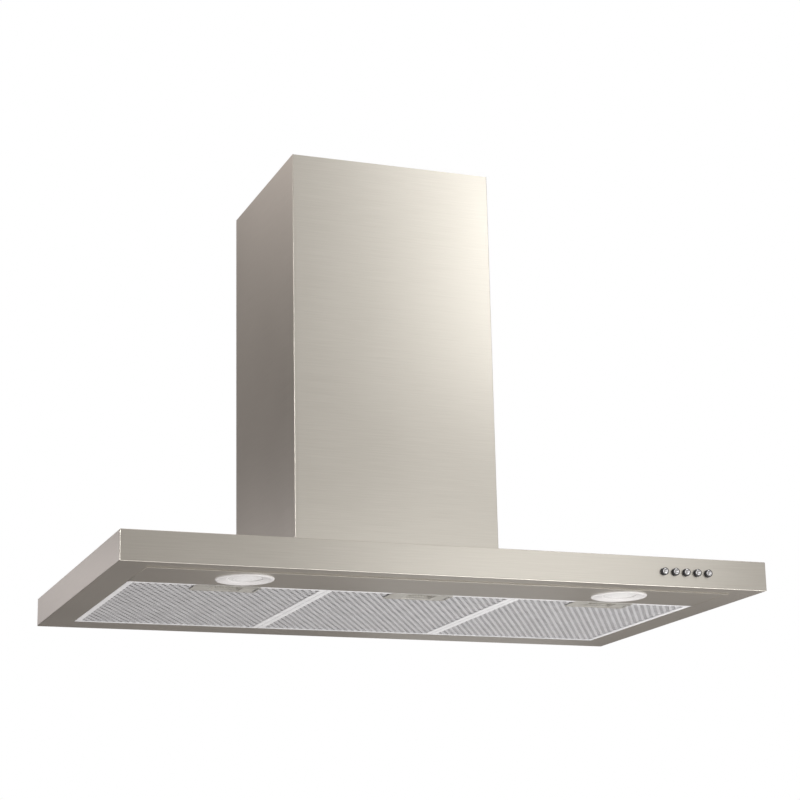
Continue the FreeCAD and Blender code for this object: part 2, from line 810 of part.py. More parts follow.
def latch_plate(side, middle):
    name = "latch_plate_" + side
    plate = box(
        name + "_flat",
        about(middle, "latch_plate_width / 2"),
        ("plate_front", "plate_front + latch_plate_depth"),
        ("plate_bottom", "filter_recess"),
    )
    cup = box(
        name + "_cup",
        about(middle, "latch_cup_width / 2"),
        ("cup_front", "cup_rear"),
        ("plate_bottom", "filter_ceiling"),
    )
    hollow = box(
        name + "_hollow",
        about(middle, "latch_cup_width / 2 - latch_cup_wall"),
        ("cup_front + latch_cup_wall", "cup_rear - latch_cup_wall"),
        ("plate_bottom - overrun", "cup_top"),
    )
    tongue_hole = box(
        name + "_tongue_hole",
        about(middle, "tongue_width / 2 + filter_fit"),
        ("cup_front - overrun", "cup_front + latch_cup_wall + overrun"),
        ("tongue_level - filter_fit", "tongue_top + filter_fit"),
    )
    notch = box(
        name + "_notch",
        about(middle + " + latch_notch_offset", "latch_notch_width / 2"),
        about("plate_front + latch_plate_depth / 2", "latch_notch_depth / 2"),
        ("plate_bottom - overrun", "filter_recess + overrun"),
    )
    solid = fuse(name + "_pressing", [plate, cup])
    return keep(cut(name, solid, [hollow, tongue_hole, notch]), name)


def latch_slide(side, middle):
    name = "latch_slide_" + side
    tongue = box(
        name + "_tongue",
        about(middle, "tongue_width / 2"),
        ("panel_rear + tongue_stop_gap", "grip_rear"),
        ("tongue_level", "tongue_top"),
    )
    grip = box(
        name + "_grip",
        about(middle, "grip_width / 2"),
        ("grip_front", "grip_rear"),
        ("filter_recess + grip_lift", "tongue_top"),
    )
    return keep(fuse(name, [tongue, grip]), name)


def latch_spring(side, column):
    # A bent leaf between the grip and the rear wall of the cup.
    middle = column * size("filter_pitch")
    half = size("leaf_width") / 2
    thickness = size("leaf_thickness")
    front = size("grip_rear")
    rear = size("cup_rear") - size("latch_cup_wall")
    level = size("tongue_level") - size("leaf_height")
    near = [(-half, rear - thickness), (0, front), (half, rear - thickness)]
    far = [(half, rear), (0, front + thickness), (-half, rear)]
    outline = ring_wire([Vector(middle + x, y, level) for x, y in near + far])
    leaf = Part.Face(outline).extrude(Vector(0, 0, size("leaf_height")))
    return feature("latch_spring_" + side, leaf)


def grease_filter(side, column):
    middle = f"{column} * filter_pitch"
    filter_frame(side, middle)
    filter_net(side, column)
    filter_core(side, column)
    latch_plate(side, middle)
    latch_slide(side, middle)
    latch_spring(side, column)


# Buttons and the switch block behind them

def push_button(number):
    back_of_face = "canopy_sheet + button_fit"
    flange_back = back_of_face + " + button_flange_thickness"
    profile = [
        ("0", "-button_proud"),
        ("button_radius - button_edge", "-button_proud"),
        ("button_radius", "-(button_proud - button_edge)"),
        ("button_radius", back_of_face),
        ("button_flange_radius", back_of_face),
        ("button_flange_radius", flange_back),
        ("button_stem_radius", flange_back),
        ("button_stem_radius", flange_back + " + button_stem_length"),
        ("0", flange_back + " + button_stem_length"),
    ]
    spot = (f"first_button + {number} * button_pitch", "-canopy_depth", "button_level")
    return turned(f"push_button_{number + 1}", profile, spot, "y")


def switch_block():
    level = about("button_level", "block_height / 2")
    casing = box(
        "switch_casing", ("block_left", "block_right"), ("block_front", "block_rear"), level
    )
    ear_run = ("face_back", "face_back + ear_depth")
    ear_spans = (("block_left - ear_width", "block_left"), ("block_right", "block_right + ear_width"))
    ears = [box("switch_ear", span, ear_run, level) for span in ear_spans]
    bores = [
        rod(
            "stem_bore",
            "y",
            (f"first_button + {number} * button_pitch", "button_level"),
            "button_stem_radius + stem_fit",
            ("block_front - overrun", "block_rear + overrun"),
        )
        for number in range(5)
    ]
    stud_holes = [
        rod(
            "stud_hole",
            "y",
            (stud, "button_level"),
            "stud_radius + stud_fit",
            ("face_back - overrun", "block_rear"),
        )
        for stud in ("left_stud", "right_stud")
    ]
    moulding = fuse("switch_moulding", [casing] + ears)
    return keep(cut("switch_block", moulding, bores + stud_holes), "switch_block")


def switch_nuts():
    nuts = []
    for stud in ("left_stud", "right_stud"):
        blank = doc.addObject("Part::Prism", "nut_blank")
        blank.Polygon = 6
        blank.Placement = Placement(Vector(), axis_turns["y"])
        blank.setExpression("Circumradius", linked("nut_radius"))
        blank.setExpression("Height", linked("nut_height"))
        blank.setExpression("Placement.Base.x", linked(stud))
        blank.setExpression("Placement.Base.y", linked("face_back + ear_depth"))
        blank.setExpression("Placement.Base.z", linked("button_level"))
        nuts.append(blank)
    threads = [
        rod(
            "nut_thread",
            "y",
            (stud, "button_level"),
            "stud_radius + stud_fit",
            ("face_back", "face_back + stud_length + overrun"),
        )
        for stud in ("left_stud", "right_stud")
    ]
    return keep(cut("switch_nuts", fuse("nut_blanks", nuts), threads), "switch_nuts")


# Fan box, fan and motor

def fan_box():
    owner = body("fan_box")
    plan = sketch(owner, "XY_Plane", "canopy_height")
    across = ("-fan_box_half", "fan_box_half")
    rectangle(plan, across, ("-fan_box_depth", "0"))
    pad(owner, plan, "fan_box_height")
    foot = sketch(owner, "XY_Plane", "canopy_height")
    foot_half = "fan_box_half + fan_box_foot"
    foot_depth = ("-(fan_box_depth + fan_box_foot)", "-fan_box_foot")
    rectangle(foot, ("-(" + foot_half + ")", foot_half), foot_depth)
    pad(owner, foot, "fan_box_sheet")
    inside = sketch(owner, "XY_Plane", "canopy_height")
    inner_half = "fan_box_half - fan_box_sheet"
    inner_depth = ("-(fan_box_depth - fan_box_sheet)", "-fan_box_sheet")
    rectangle(inside, ("-(" + inner_half + ")", inner_half), inner_depth)
    pocket(owner, inside, "fan_box_height - fan_box_sheet", backwards=True)
    outlet = sketch(owner, "XY_Plane", "fan_box_top")
    circle(outlet, ("0", "-collar_from_wall"), "collar_bore")
    for side in ("-", ""):
        for end in ("-", "+"):
            across = side + "collar_screw_radius / sqrt(2)"
            along = f"-collar_from_wall {end} collar_screw_radius / sqrt(2)"
            circle(outlet, (across, along), "screw_radius + screw_fit")
    pocket(owner, outlet, "fan_box_sheet")
    foot_holes = sketch(owner, "XY_Plane", "canopy_height + fan_box_sheet")
    for side in ("-", ""):
        for end in ("-", "+"):
            along = f"foot_screw_centre {end} foot_screw_spacing / 2"
            circle(foot_holes, (side + "foot_middle", along), "screw_radius + screw_fit")
    pocket(owner, foot_holes, "fan_box_sheet")
    back = sketch(owner, "XZ_Plane")
    level = "fan_box_top - hanging_hole_from_top"
    for side in ("-", ""):
        circle(back, (side + "hanging_hole_spacing / 2", level), "hanging_hole_radius")
    pocket(owner, back, "fan_box_sheet", backwards=True)
    return owner


def scroll_section(inset):
    # The snail outline across the fan's axis: its radius grows evenly over three quarters of a turn.
    centre_y = -size("wheel_from_wall")
    centre_z = size("wheel_axis")
    start = size("scroll_start_radius") - inset
    growth = size("scroll_growth") / 6

    def spot(eighth):
        radius = start + growth * eighth
        turn = math.radians(45) * eighth
        return Vector(0, centre_y - radius * math.sin(turn), centre_z + radius * math.cos(turn))

    edges = [Part.Arc(spot(n), spot(n + 1), spot(n + 2)).toShape() for n in (0, 2, 4)]
    top = size("fan_box_top") - size("fan_box_sheet")
    rear = centre_y + size("scroll_end_radius") - inset
    mouth_rear = -size("collar_from_wall") + size("collar_bore") - inset
    mouth_front = -size("collar_from_wall") - size("collar_bore") + inset
    shoulder = (centre_z + top) / 2
    corners = [
        spot(6),
        Vector(0, rear, shoulder),
        Vector(0, mouth_rear, top),
        Vector(0, mouth_front, top),
        spot(0),
    ]
    edges += [Part.LineSegment(a, b).toShape() for a, b in zip(corners, corners[1:])]
    return Part.Face(Part.Wire(edges))


def scroll_housing():
    half = size("scroll_half_width")
    wall = size("scroll_wall")
    overrun = size("overrun")
    outer = scroll_section(0).extrude(Vector(2 * half, 0, 0))
    outer.translate(Vector(-half, 0, 0))
    inner = scroll_section(wall).extrude(Vector(2 * (half - wall), 0, 0))
    inner.translate(Vector(-(half - wall), 0, 0))
    eye_start = Vector(-half - overrun, -size("wheel_from_wall"), size("wheel_axis"))
    eye_length = 2 * (half + overrun)
    eye = Part.makeCylinder(size("scroll_inlet_radius"), eye_length, eye_start, Vector(1, 0, 0))
    return feature("scroll_housing", outer.cut([inner, eye]))


def fan_wheel():
    owner = body("fan_wheel")
    centre = ("0", "0")
    disc = sketch(owner, "YZ_Plane", "-wheel_disc")
    circle(disc, centre, "wheel_radius")
    pad(owner, disc, "wheel_disc")
    boss = sketch(owner, "YZ_Plane")
    circle(boss, centre, "wheel_boss_radius")
    pad(owner, boss, "wheel_boss_length", backwards=True)
    for lift in ("-wheel_half_length", "wheel_half_length - wheel_disc"):
        ring = sketch(owner, "YZ_Plane", lift)
        circle(ring, centre, "wheel_radius")
        circle(ring, centre, "wheel_radius - wheel_ring")
        rim = pad(owner, ring, "wheel_disc")
        rim.AllowMultiFace = True
    blade = sketch(owner, "YZ_Plane", "-wheel_half_length")
    lean = "wheel_ring * blade_lean_share"
    inner = "wheel_radius - wheel_ring"
    outer = "wheel_radius - blade_thickness"
    polygon(blade, [
        (inner, "0"),
        (outer, lean),
        (outer, lean + " + blade_thickness"),
        (inner, "blade_thickness"),
    ])
    slat = pad(owner, blade, "2 * wheel_half_length")
    pattern = owner.newObject("PartDesign::PolarPattern", "blade_pattern")
    pattern.Originals = [slat]
    axle = next(f for f in owner.Origin.OriginFeatures if f.Role == "X_Axis")
    pattern.Axis = (axle, [""])
    pattern.Angle = 360
    pattern.setExpression("Occurrences", linked("blade_count"))
    owner.Tip = pattern
    doc.recompute()
    bore = sketch(owner, "YZ_Plane", "-(wheel_boss_length + overrun)")
    circle(bore, centre, "shaft_radius + shaft_fit")
    pocket(owner, bore, "wheel_boss_length + 2 * overrun", backwards=True)
    owner.setExpression("Placement.Base.y", linked("-wheel_from_wall"))
    owner.setExpression("Placement.Base.z", linked("wheel_axis"))
    return owner


def motor():
    spot = ("0", "-wheel_from_wall", "wheel_axis")
    return turned("motor", [
        ("shaft_radius + shaft_fit", "motor_gap"),
        ("motor_radius", "motor_gap"),
        ("motor_radius", "motor_gap + motor_length"),
        ("motor_boss_radius", "motor_gap + motor_length"),
        ("motor_boss_radius", "scroll_half_width"),
        ("0", "scroll_half_width"),
        ("0", "motor_gap + motor_length"),
        ("shaft_radius + shaft_fit", "motor_gap + motor_length"),
    ], spot, "x")


def motor_shaft():
    start = "-(wheel_boss_length + motor_gap)"
    axis = ("-wheel_from_wall", "wheel_axis")
    shaft = rod("motor_shaft", "x", axis, "shaft_radius", (start, start + " + shaft_length"))
    return keep(shaft, "motor_shaft")


def motor_spider():
    # Three flat arms from a hub, across the fan's right-hand inlet.
    hub_radius = size("spider_hub_radius")
    sheet = size("spider_sheet")
    start = Vector(size("scroll_half_width"), -size("wheel_from_wall"), size("wheel_axis"))
    shape = Part.makeCylinder(hub_radius, sheet, start, Vector(1, 0, 0))
    width = size("spider_arm_width")
    arms = []
    for number in range(3):
        arm = Part.makeBox(sheet, width, size("spider_reach"), start - Vector(0, width / 2, 0))
        arm.rotate(start, Vector(1, 0, 0), 120 * number)
        arms.append(arm)
    return feature("motor_spider", shape.fuse(arms).removeSplitter())


# Outlet collar with its non-return flaps

def outlet_collar():
    ledge_top = "flap_level - flap_thickness / 2 - flap_seat_gap"
    owner = turned("outlet_collar", [
        ("collar_bore", "0"),
        ("collar_flange_radius", "0"),
        ("collar_flange_radius", "collar_flange_thickness"),
        ("collar_radius", "collar_flange_thickness"),
        ("collar_radius", "collar_height"),
        ("collar_bore", "collar_height"),
        ("collar_bore", ledge_top),
        ("collar_bore - ledge_width", ledge_top),
        ("collar_bore - ledge_width", ledge_top + " - ledge_height"),
        ("collar_bore", ledge_top + " - ledge_height"),
    ], ("0", "-collar_from_wall", "collar_base"))
    rod_hole = sketch(owner, "YZ_Plane", "-(collar_radius + overrun)")
    circle(rod_hole, ("0", "flap_level"), "flap_rod_radius + flap_rod_fit")
    pocket(owner, rod_hole, "2 * (collar_radius + overrun)", backwards=True)
    holes = sketch(owner, "XY_Plane")
    for side in ("-", ""):
        for end in ("-", ""):
            spot = (side + "collar_screw_radius / sqrt(2)", end + "collar_screw_radius / sqrt(2)")
            circle(holes, spot, "screw_radius + screw_fit")
    pocket(owner, holes, "collar_flange_thickness", backwards=True)
    return owner


def flap_rod():
    across = ("-collar_from_wall", "flap_axis")
    pin = rod("flap_rod", "x", across, "flap_rod_radius", ("-collar_radius", "collar_radius"))
    return keep(pin, "flap_rod")


def flap(label, sign, barrels):
    # Half a disc on its side of the rod, held by barrels that turn on the rod.
    middle = "-collar_from_wall"
    thickness = about("flap_axis", "flap_thickness / 2")
    keep_off = "flap_barrel_radius + flap_barrel_gap"
    if sign == "+":
        side = (f"{middle} + {keep_off}", f"{middle} + collar_radius")
        root = (middle, f"{middle} + {keep_off}")
    else:
        side = (f"{middle} - collar_radius", f"{middle} - ({keep_off})")
        root = (f"{middle} - ({keep_off})", middle)
    disc = rod(label + "_disc", "z", ("0", middle), "flap_radius", thickness)
    half = box(label + "_half", ("-collar_radius", "collar_radius"), side, thickness)
    plate = doc.addObject("Part::Common", label + "_plate")
    plate.Base = disc
    plate.Tool = half
    pieces = [plate]
    for span in barrels:
        pieces.append(box(label + "_root", span, root, thickness))
        pieces.append(rod(label + "_barrel", "x", (middle, "flap_axis"), "flap_barrel_radius", span))
    bore = rod(
        label + "_bore",
        "x",
        (middle, "flap_axis"),
        "flap_rod_radius + flap_rod_fit",
        ("-collar_radius", "collar_radius"),
    )
    return keep(cut(label, fuse(label + "_solid", pieces), [bore]), label)


def flaps():
    inner = "flap_barrel_half"
    gap_end = "flap_barrel_half + flap_barrel_gap"
    outer = "flap_outer_barrel"
    flap("flap_front", "-", [(f"-{outer}", f"-({gap_end})"), (gap_end, outer)])
    flap("flap_rear", "+", [(f"-{inner}", inner)])


# Electrical pieces

def junction_box():
    right = "fan_box_half - junction_inset"
    rear = "-junction_inset"
    x_span = (right + " - junction_width", right)
    y_span = (rear + " - junction_depth", rear)
    casing = box("junction_casing", x_span, y_span, ("fan_box_top", "junction_high"))
    inner = [(low + " + junction_wall", high + " - junction_wall") for low, high in (x_span, y_span)]
    hollow = box("junction_hollow", *inner, ("fan_box_top + junction_wall", "junction_high + overrun"))
    keep(cut("junction_box", casing, [hollow]), "junction_box")
    lid_top = "junction_high + junction_lid"
    plate = box("junction_lid_plate", x_span, y_span, ("junction_high", lid_top))
    centre = (right + " - junction_width / 2", rear + " - junction_depth / 2")
    hole_radius = "gland_bore + junction_wall + screw_fit"
    hole = rod("gland_hole", "z", centre, hole_radius, ("junction_high", lid_top))
    keep(cut("junction_lid", plate, [hole]), "junction_lid")
    neck = "gland_bore + junction_wall"
    turned("cable_gland", [
        ("gland_bore", "-junction_lid"),
        (neck, "-junction_lid"),
        (neck, "0"),
        ("gland_radius", "0"),
        ("gland_radius", "gland_nut_height"),
        ("gland_radius - junction_wall", "gland_nut_height"),
        ("gland_radius - junction_wall", "gland_length - junction_wall"),
        (neck, "gland_length"),
        ("gland_bore", "gland_length"),
    ], centre + (lid_top,))


def capacitor():
    reach = "capacitor_inset + capacitor_radius"
    spot = (f"-(fan_box_half - ({reach}))", f"-({reach})", "fan_box_top")
    return turned("capacitor", [
        ("0", "0"),
        ("capacitor_radius", "0"),
        ("capacitor_radius", "capacitor_height - capacitor_rim"),
        ("capacitor_radius - capacitor_rim", "capacitor_height"),
        ("0", "capacitor_height"),
    ], spot)


def lamp_driver():
    solid = box(
        "lamp_driver",
        about("-driver_from_centre", "driver_length / 2"),
        ("-(driver_from_wall + driver_width)", "-driver_from_wall"),
        ("canopy_inner_top - driver_height", "canopy_inner_top"),
    )
    return keep(solid, "lamp_driver")


# Chimney covers and what holds them

def cover_section(drawing, half, front, back, sheet):
    # A channel open to the wall, with its rear edges turned in.
    inner = f"{half} - {sheet}"
    lip = f"{half} - chimney_return"
    polygon(drawing, [
        (f"-({lip})", back),
        (f"-({half})", back),
        (f"-({half})", front),
        (half, front),
        (half, back),
        (lip, back),
        (lip, f"{back} - {sheet}"),
        (inner, f"{back} - {sheet}"),
        (inner, f"{front} + {sheet}"),
        (f"-({inner})", f"{front} + {sheet}"),
        (f"-({inner})", f"{back} - {sheet}"),
        (f"-({lip})", f"{back} - {sheet}"),
    ])


def front_corners(front):
    # Picks the upright edges in the plane of a cover's front.
    def wanted(edge):
        at_front = abs(edge.CenterOfMass.y - front) < size("same_place")
        return at_front and parallel_to(edge, Vector(0, 0, 1))
    return wanted


def lower_cover():
    owner = body("lower_cover")
    plan = sketch(owner, "XY_Plane", "canopy_height")
    cover_section(plan, "cover_half", "-chimney_depth", "0", "chimney_sheet")
    pad(owner, plan, "chimney_height")
    round_edges(owner, "fold_radius", front_corners(-size("chimney_depth")))
    return owner


def upper_cover():
    owner = body("upper_cover")
    plan = sketch(owner, "XY_Plane", "upper_bottom")
    cover_section(plan, "upper_half", "upper_front", "upper_back", "upper_sheet")
    pad(owner, plan, "upper_top - upper_bottom")
    round_edges(owner, "fold_radius", front_corners(size("upper_front")))
    holes = sketch(owner, "XZ_Plane", "-upper_back")
    for side in ("-", ""):
        circle(holes, (side + "bracket_screw_line", "bracket_middle"), "screw_radius + screw_fit")
    pocket(owner, holes, "upper_sheet", backwards=True)
    return owner


def upper_bracket():
    # A strip that meets the wall in the middle and the upper cover's turned-in edges at its ends.
    owner = body("upper_bracket")
    plan = sketch(owner, "XY_Plane", "bracket_bottom")
    end = "bracket_half"
    sheet = "bracket_sheet"
    wide = "bracket_joggle_half + bracket_joggle_run"
    near = "bracket_joggle_half"
    leg = "bracket_rear - bracket_leg"
    polygon(plan, [
        (f"-{end}", leg),
        (f"-{end}", "bracket_rear"),
        (f"-({wide})", "bracket_rear"),
        (f"-{near}", "0"),
        (near, "0"),
        (wide, "bracket_rear"),
        (end, "bracket_rear"),
        (end, leg),
        (f"{end} - {sheet}", leg),
        (f"{end} - {sheet}", f"bracket_rear - {sheet}"),
        (wide, f"bracket_rear - {sheet}"),
        (near, f"-{sheet}"),
        (f"-{near}", f"-{sheet}"),
        (f"-({wide})", f"bracket_rear - {sheet}"),
        (f"-({end} - {sheet})", f"bracket_rear - {sheet}"),
        (f"-({end} - {sheet})", leg),
    ])
    pad(owner, plan, "bracket_height")
    holes = sketch(owner, "XZ_Plane")
    for side in ("-", ""):
        circle(holes, (side + "bracket_hole_spacing / 2", "bracket_middle"), "bracket_hole_radius")
        circle(holes, (side + "bracket_screw_line", "bracket_middle"), "screw_radius + screw_fit")
    pocket(owner, holes, "bracket_leg", backwards=True)
    return owner


def cover_clips():
    # Two angles on the canopy that the lower cover's front drops in front of.
    angles = []
    for sign in ("-", "+"):
        span = about(f"0 {sign} clip_spacing / 2", "clip_length / 2")
        front = "cover_inner_front"
        rise = ("canopy_height", "canopy_height + clip_leg")
        floor = ("canopy_height", "canopy_height + clip_sheet")
        angles.append(box("clip_wall", span, (front, front + " + clip_sheet"), rise))
        angles.append(box("clip_floor", span, (front, front + " + clip_leg"), floor))
    holes = [
        rod(
            "clip_hole",
            "z",
            (sign + "clip_spacing / 2", "clip_screw_line"),
            "screw_radius + screw_fit",
            ("canopy_height", "canopy_height + clip_leg"),
        )
        for sign in ("-", "")
    ]
    return keep(cut("cover_clips", fuse("clip_angles", angles), holes), "cover_clips")


# Screws

def screw_at(spot, into, shank):
    # A pan head whose underside is at the spot, with a shank that runs along the direction given.
    head_radius = size("screw_head_radius")
    head_height = size("screw_head_height")
    head = Part.makeCylinder(head_radius, head_height, spot, into.negative())
    rim = [edge for edge in head.Edges if edge.Length > head_height * 2]
    crown = max(rim, key=lambda edge: (edge.CenterOfMass - spot).dot(into.negative()))
    head = head.makeFillet(head_height / 2, [crown])
    return head.fuse(Part.makeCylinder(size("screw_radius"), shank, spot, into))


def sheet_screws():
    down = Vector(0, 0, -1)
    forward = Vector(0, -1, 0)
    length = size("screw_length")
    screws = []
    flange_inside = size("seam_front") + size("panel_seam") + size("panel_sheet")
    for step in (-3, -1, 1, 3):
        spot = Vector(step * size("panel_screw_spacing") / 4, flange_inside, size("panel_screw_level"))
        screws.append(screw_at(spot, forward, length))
    foot_top = size("canopy_height") + size("fan_box_sheet")
    clip_top = size("canopy_height") + size("clip_sheet")
    diagonal = size("collar_screw_radius") / math.sqrt(2)
    for side in (-1, 1):
        clip_spot = Vector(side * size("clip_spacing") / 2, size("clip_screw_line"), clip_top)
        screws.append(screw_at(clip_spot, down, length))
        for end in (-1, 1):
            along = size("foot_screw_centre") + end * size("foot_screw_spacing") / 2
            foot_spot = Vector(side * size("foot_middle"), along, foot_top)
            screws.append(screw_at(foot_spot, down, length))
            collar_y = -size("collar_from_wall") + end * diagonal
            collar_spot = Vector(side * diagonal, collar_y, size("flange_top"))
            screws.append(screw_at(collar_spot, down, length))
    return feature("sheet_screws", Part.makeCompound(screws))


def bracket_screws():
    back = Vector(0, 1, 0)
    shank = size("bracket_sheet") + size("upper_sheet")
    level = size("bracket_middle")
    face = size("bracket_rear") - size("bracket_sheet")
    spots = [Vector(side * size("bracket_screw_line"), face, level) for side in (-1, 1)]
    return feature("bracket_screws", Part.makeCompound([screw_at(spot, back, shank) for spot in spots]))


# The whole hood

canopy_shell()
light_panel()
for side, sign in (("left", "-"), ("right", "")):
    lamp(side, sign)
for column, side in ((-1, "left"), (0, "centre"), (1, "right")):
    grease_filter(side, column)
for number in range(5):
    push_button(number)
switch_block()
switch_nuts()
fan_box()
scroll_housing()
fan_wheel()
motor()
motor_shaft()
motor_spider()
outlet_collar()
flap_rod()
flaps()
junction_box()
capacitor()
lamp_driver()
lower_cover()
upper_cover()
upper_bracket()
cover_clips()
sheet_screws()
bracket_screws()
doc.recompute()

# Nothing is written unless every object worked out and every sub-part is a sound solid.

for thing in doc.Objects:
    if "Invalid" in thing.State or "Error" in thing.State:
        raise RuntimeError(f"{thing.Label} failed: {thing.State}")
for solid in sub_parts:
    if solid.Shape.isNull() or not solid.Shape.isValid() or not solid.Shape.Solids:
        raise RuntimeError(f"{solid.Label} has no sound shape")

os.makedirs("parts", exist_ok=True)
for solid in sub_parts:
    solid.Shape.exportStep(f"parts/{solid.Label}.step")
print(len(sub_parts), "sub-parts written")
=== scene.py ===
import json
import math

import bmesh
import bpy
from mathutils import Matrix, Vector


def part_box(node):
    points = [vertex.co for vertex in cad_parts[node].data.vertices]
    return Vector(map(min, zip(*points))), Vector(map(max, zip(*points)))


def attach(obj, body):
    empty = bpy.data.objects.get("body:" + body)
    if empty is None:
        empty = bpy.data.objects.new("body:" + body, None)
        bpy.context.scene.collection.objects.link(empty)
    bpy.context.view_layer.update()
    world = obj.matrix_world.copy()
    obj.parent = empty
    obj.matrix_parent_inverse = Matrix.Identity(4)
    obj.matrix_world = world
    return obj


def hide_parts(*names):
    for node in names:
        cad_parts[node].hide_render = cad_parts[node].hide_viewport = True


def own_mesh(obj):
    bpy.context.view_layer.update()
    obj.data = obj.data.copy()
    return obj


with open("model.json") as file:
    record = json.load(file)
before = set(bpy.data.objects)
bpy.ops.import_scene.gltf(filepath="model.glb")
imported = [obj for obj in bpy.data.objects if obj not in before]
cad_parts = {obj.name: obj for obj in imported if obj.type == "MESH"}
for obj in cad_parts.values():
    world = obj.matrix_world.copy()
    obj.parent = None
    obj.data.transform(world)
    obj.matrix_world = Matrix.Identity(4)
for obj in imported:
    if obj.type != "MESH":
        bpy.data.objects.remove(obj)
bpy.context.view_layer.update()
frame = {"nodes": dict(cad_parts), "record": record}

mm = 0.001
print("hood: frame loaded with", len(frame["nodes"]), "nodes")


# Camera: low and to the left of the hood, as in the photograph

cameraSetup = {
    "place": (-1.02005, -3.00219, -0.48698),   # metres from the middle of the wall side
    "yaw": 0.362,                              # turned to the right of straight at the wall
    "pitch": 0.264,                            # looking up
    "roll": -0.021,
    "lens": 94.58,                             # on a 36 mm wide sensor
    "reach": 60,
}


def addCamera(setup):
    yaw, pitch, roll = setup["yaw"], setup["pitch"], setup["roll"]
    across = math.cos(pitch)
    ahead = Vector((math.sin(yaw) * across, math.cos(yaw) * across, math.sin(pitch)))
    level = Vector((math.cos(yaw), -math.sin(yaw), 0))
    up = level.cross(ahead)
    right = level * math.cos(roll) + up * math.sin(roll)
    top = up * math.cos(roll) - level * math.sin(roll)
    turn = Matrix((right, top, -ahead)).transposed().to_4x4()
    bpy.ops.object.camera_add()
    camera = bpy.context.object
    camera.name = "photoCamera"
    camera.matrix_world = Matrix.Translation(setup["place"]) @ turn
    camera.data.lens = setup["lens"]
    camera.data.clip_end = setup["reach"]
    bpy.context.scene.camera = camera


addCamera(cameraSetup)


# Node trees: a wire is one output, and arithmetic on wires adds Math nodes

class Wire:
    def __init__(self, board, socket):
        self.board = board
        self.socket = socket

    def maths(self, operation, first, second=0.0):
        return self.board.node("ShaderNodeMath", {"operation": operation}, {0: first, 1: second})

    def __add__(self, other):
        return self.maths("ADD", self, other)

    def __radd__(self, other):
        return self.maths("ADD", other, self)

    def __sub__(self, other):
        return self.maths("SUBTRACT", self, other)

    def __rsub__(self, other):
        return self.maths("SUBTRACT", other, self)

    def __mul__(self, other):
        return self.maths("MULTIPLY", self, other)

    def __rmul__(self, other):
        return self.maths("MULTIPLY", other, self)

    def __pow__(self, other):
        return self.maths("POWER", self, other)

    def __abs__(self):
        return self.maths("ABSOLUTE", self)

    def above(self, limit):
        return self.maths("GREATER_THAN", self, limit)

    def sine(self):
        return self.maths("SINE", self)


class Board:
    def __init__(self, tree):
        self.tree = tree

    def node(self, kind, settings=None, inputs=None, out=0):
        made = self.tree.nodes.new(kind)
        for key, value in (settings or {}).items():
            setattr(made, key, value)
        for key, value in (inputs or {}).items():
            self.feed(made.inputs[key], value)
        return Wire(self, made.outputs[out])

    def feed(self, socket, value):
        if isinstance(value, Wire):
            self.tree.links.new(value.socket, socket)
        else:
            socket.default_value = value

    def split(self, vector):
        first = self.node("ShaderNodeSeparateXYZ", None, {0: vector})
        return [Wire(self, socket) for socket in first.socket.node.outputs]

    def join(self, x, y, z):
        return self.node("ShaderNodeCombineXYZ", None, {0: x, 1: y, 2: z})

    def spread(self, value, low, high, newLow, newHigh):
        inputs = {"Value": value, 1: low, 2: high, 3: newLow, 4: newHigh}
        return self.node("ShaderNodeMapRange", {"interpolation_type": "SMOOTHSTEP"}, inputs)

    def mixColour(self, factor, first, second):
        inputs = {0: factor, 6: first, 7: second}
        return self.node("ShaderNodeMix", {"data_type": "RGBA"}, inputs, 2)


class Finish(Board):
    # one material: fixed values go on the shader, wires are driven into it
    def __init__(self, name, **fixed):
        self.material = bpy.data.materials.new(name)
        self.material.use_nodes = True
        super().__init__(self.material.node_tree)
        self.shader = next(n for n in self.tree.nodes if n.type == "BSDF_PRINCIPLED")
        for label, value in fixed.items():
            self.shader.inputs[label.replace("_", " ")].default_value = value

    def place(self):
        return self.node("ShaderNodeTexCoord", None, None, "Object")

    def facing(self):
        return self.node("ShaderNodeTexCoord", None, None, "Normal")

    def grain(self, vector, scale, detail=2.0, roughness=0.5):
        inputs = {"Vector": vector, "Scale": scale, "Detail": detail, "Roughness": roughness}
        return self.node("ShaderNodeTexNoise", None, inputs, "Fac")

    def crystals(self, vector, scale):
        return self.node("ShaderNodeTexVoronoi", None, {"Vector": vector, "Scale": scale}, "Color")

    def paint(self, mask, dark, light):
        self.feed(self.shader.inputs["Base Color"], self.mixColour(mask, rgba(*dark), rgba(*light)))

    def drive(self, label, wire):
        self.feed(self.shader.inputs[label], wire)

    def roughen(self, wire, look, low=0.3, high=0.7):
        # the wire's values from low to high spread over the look's two roughnesses
        self.drive("Roughness", self.spread(wire, low, high, *look["roughness"]))

    def bumps(self, height, strength, distance):
        inputs = {"Height": height, "Strength": strength, "Distance": distance}
        self.drive("Normal", self.node("ShaderNodeBump", None, inputs))


def rgba(red, green, blue):
    return (red, green, blue, 1.0)


# Materials, one for each slot of the record

steelLook = {
    "light": (0.655, 0.630, 0.570),
    "dark": (0.595, 0.570, 0.512),
    "roughness": (0.30, 0.36),
    "fineLines": 2600.0,      # brush lines per metre
    "wideLines": 700.0,
    "lineStretch": 0.008,
    "clouds": 2.4,            # soft patches per metre
    "brushed": (0.25, 0.02 * mm),       # strength and depth of the lines
}


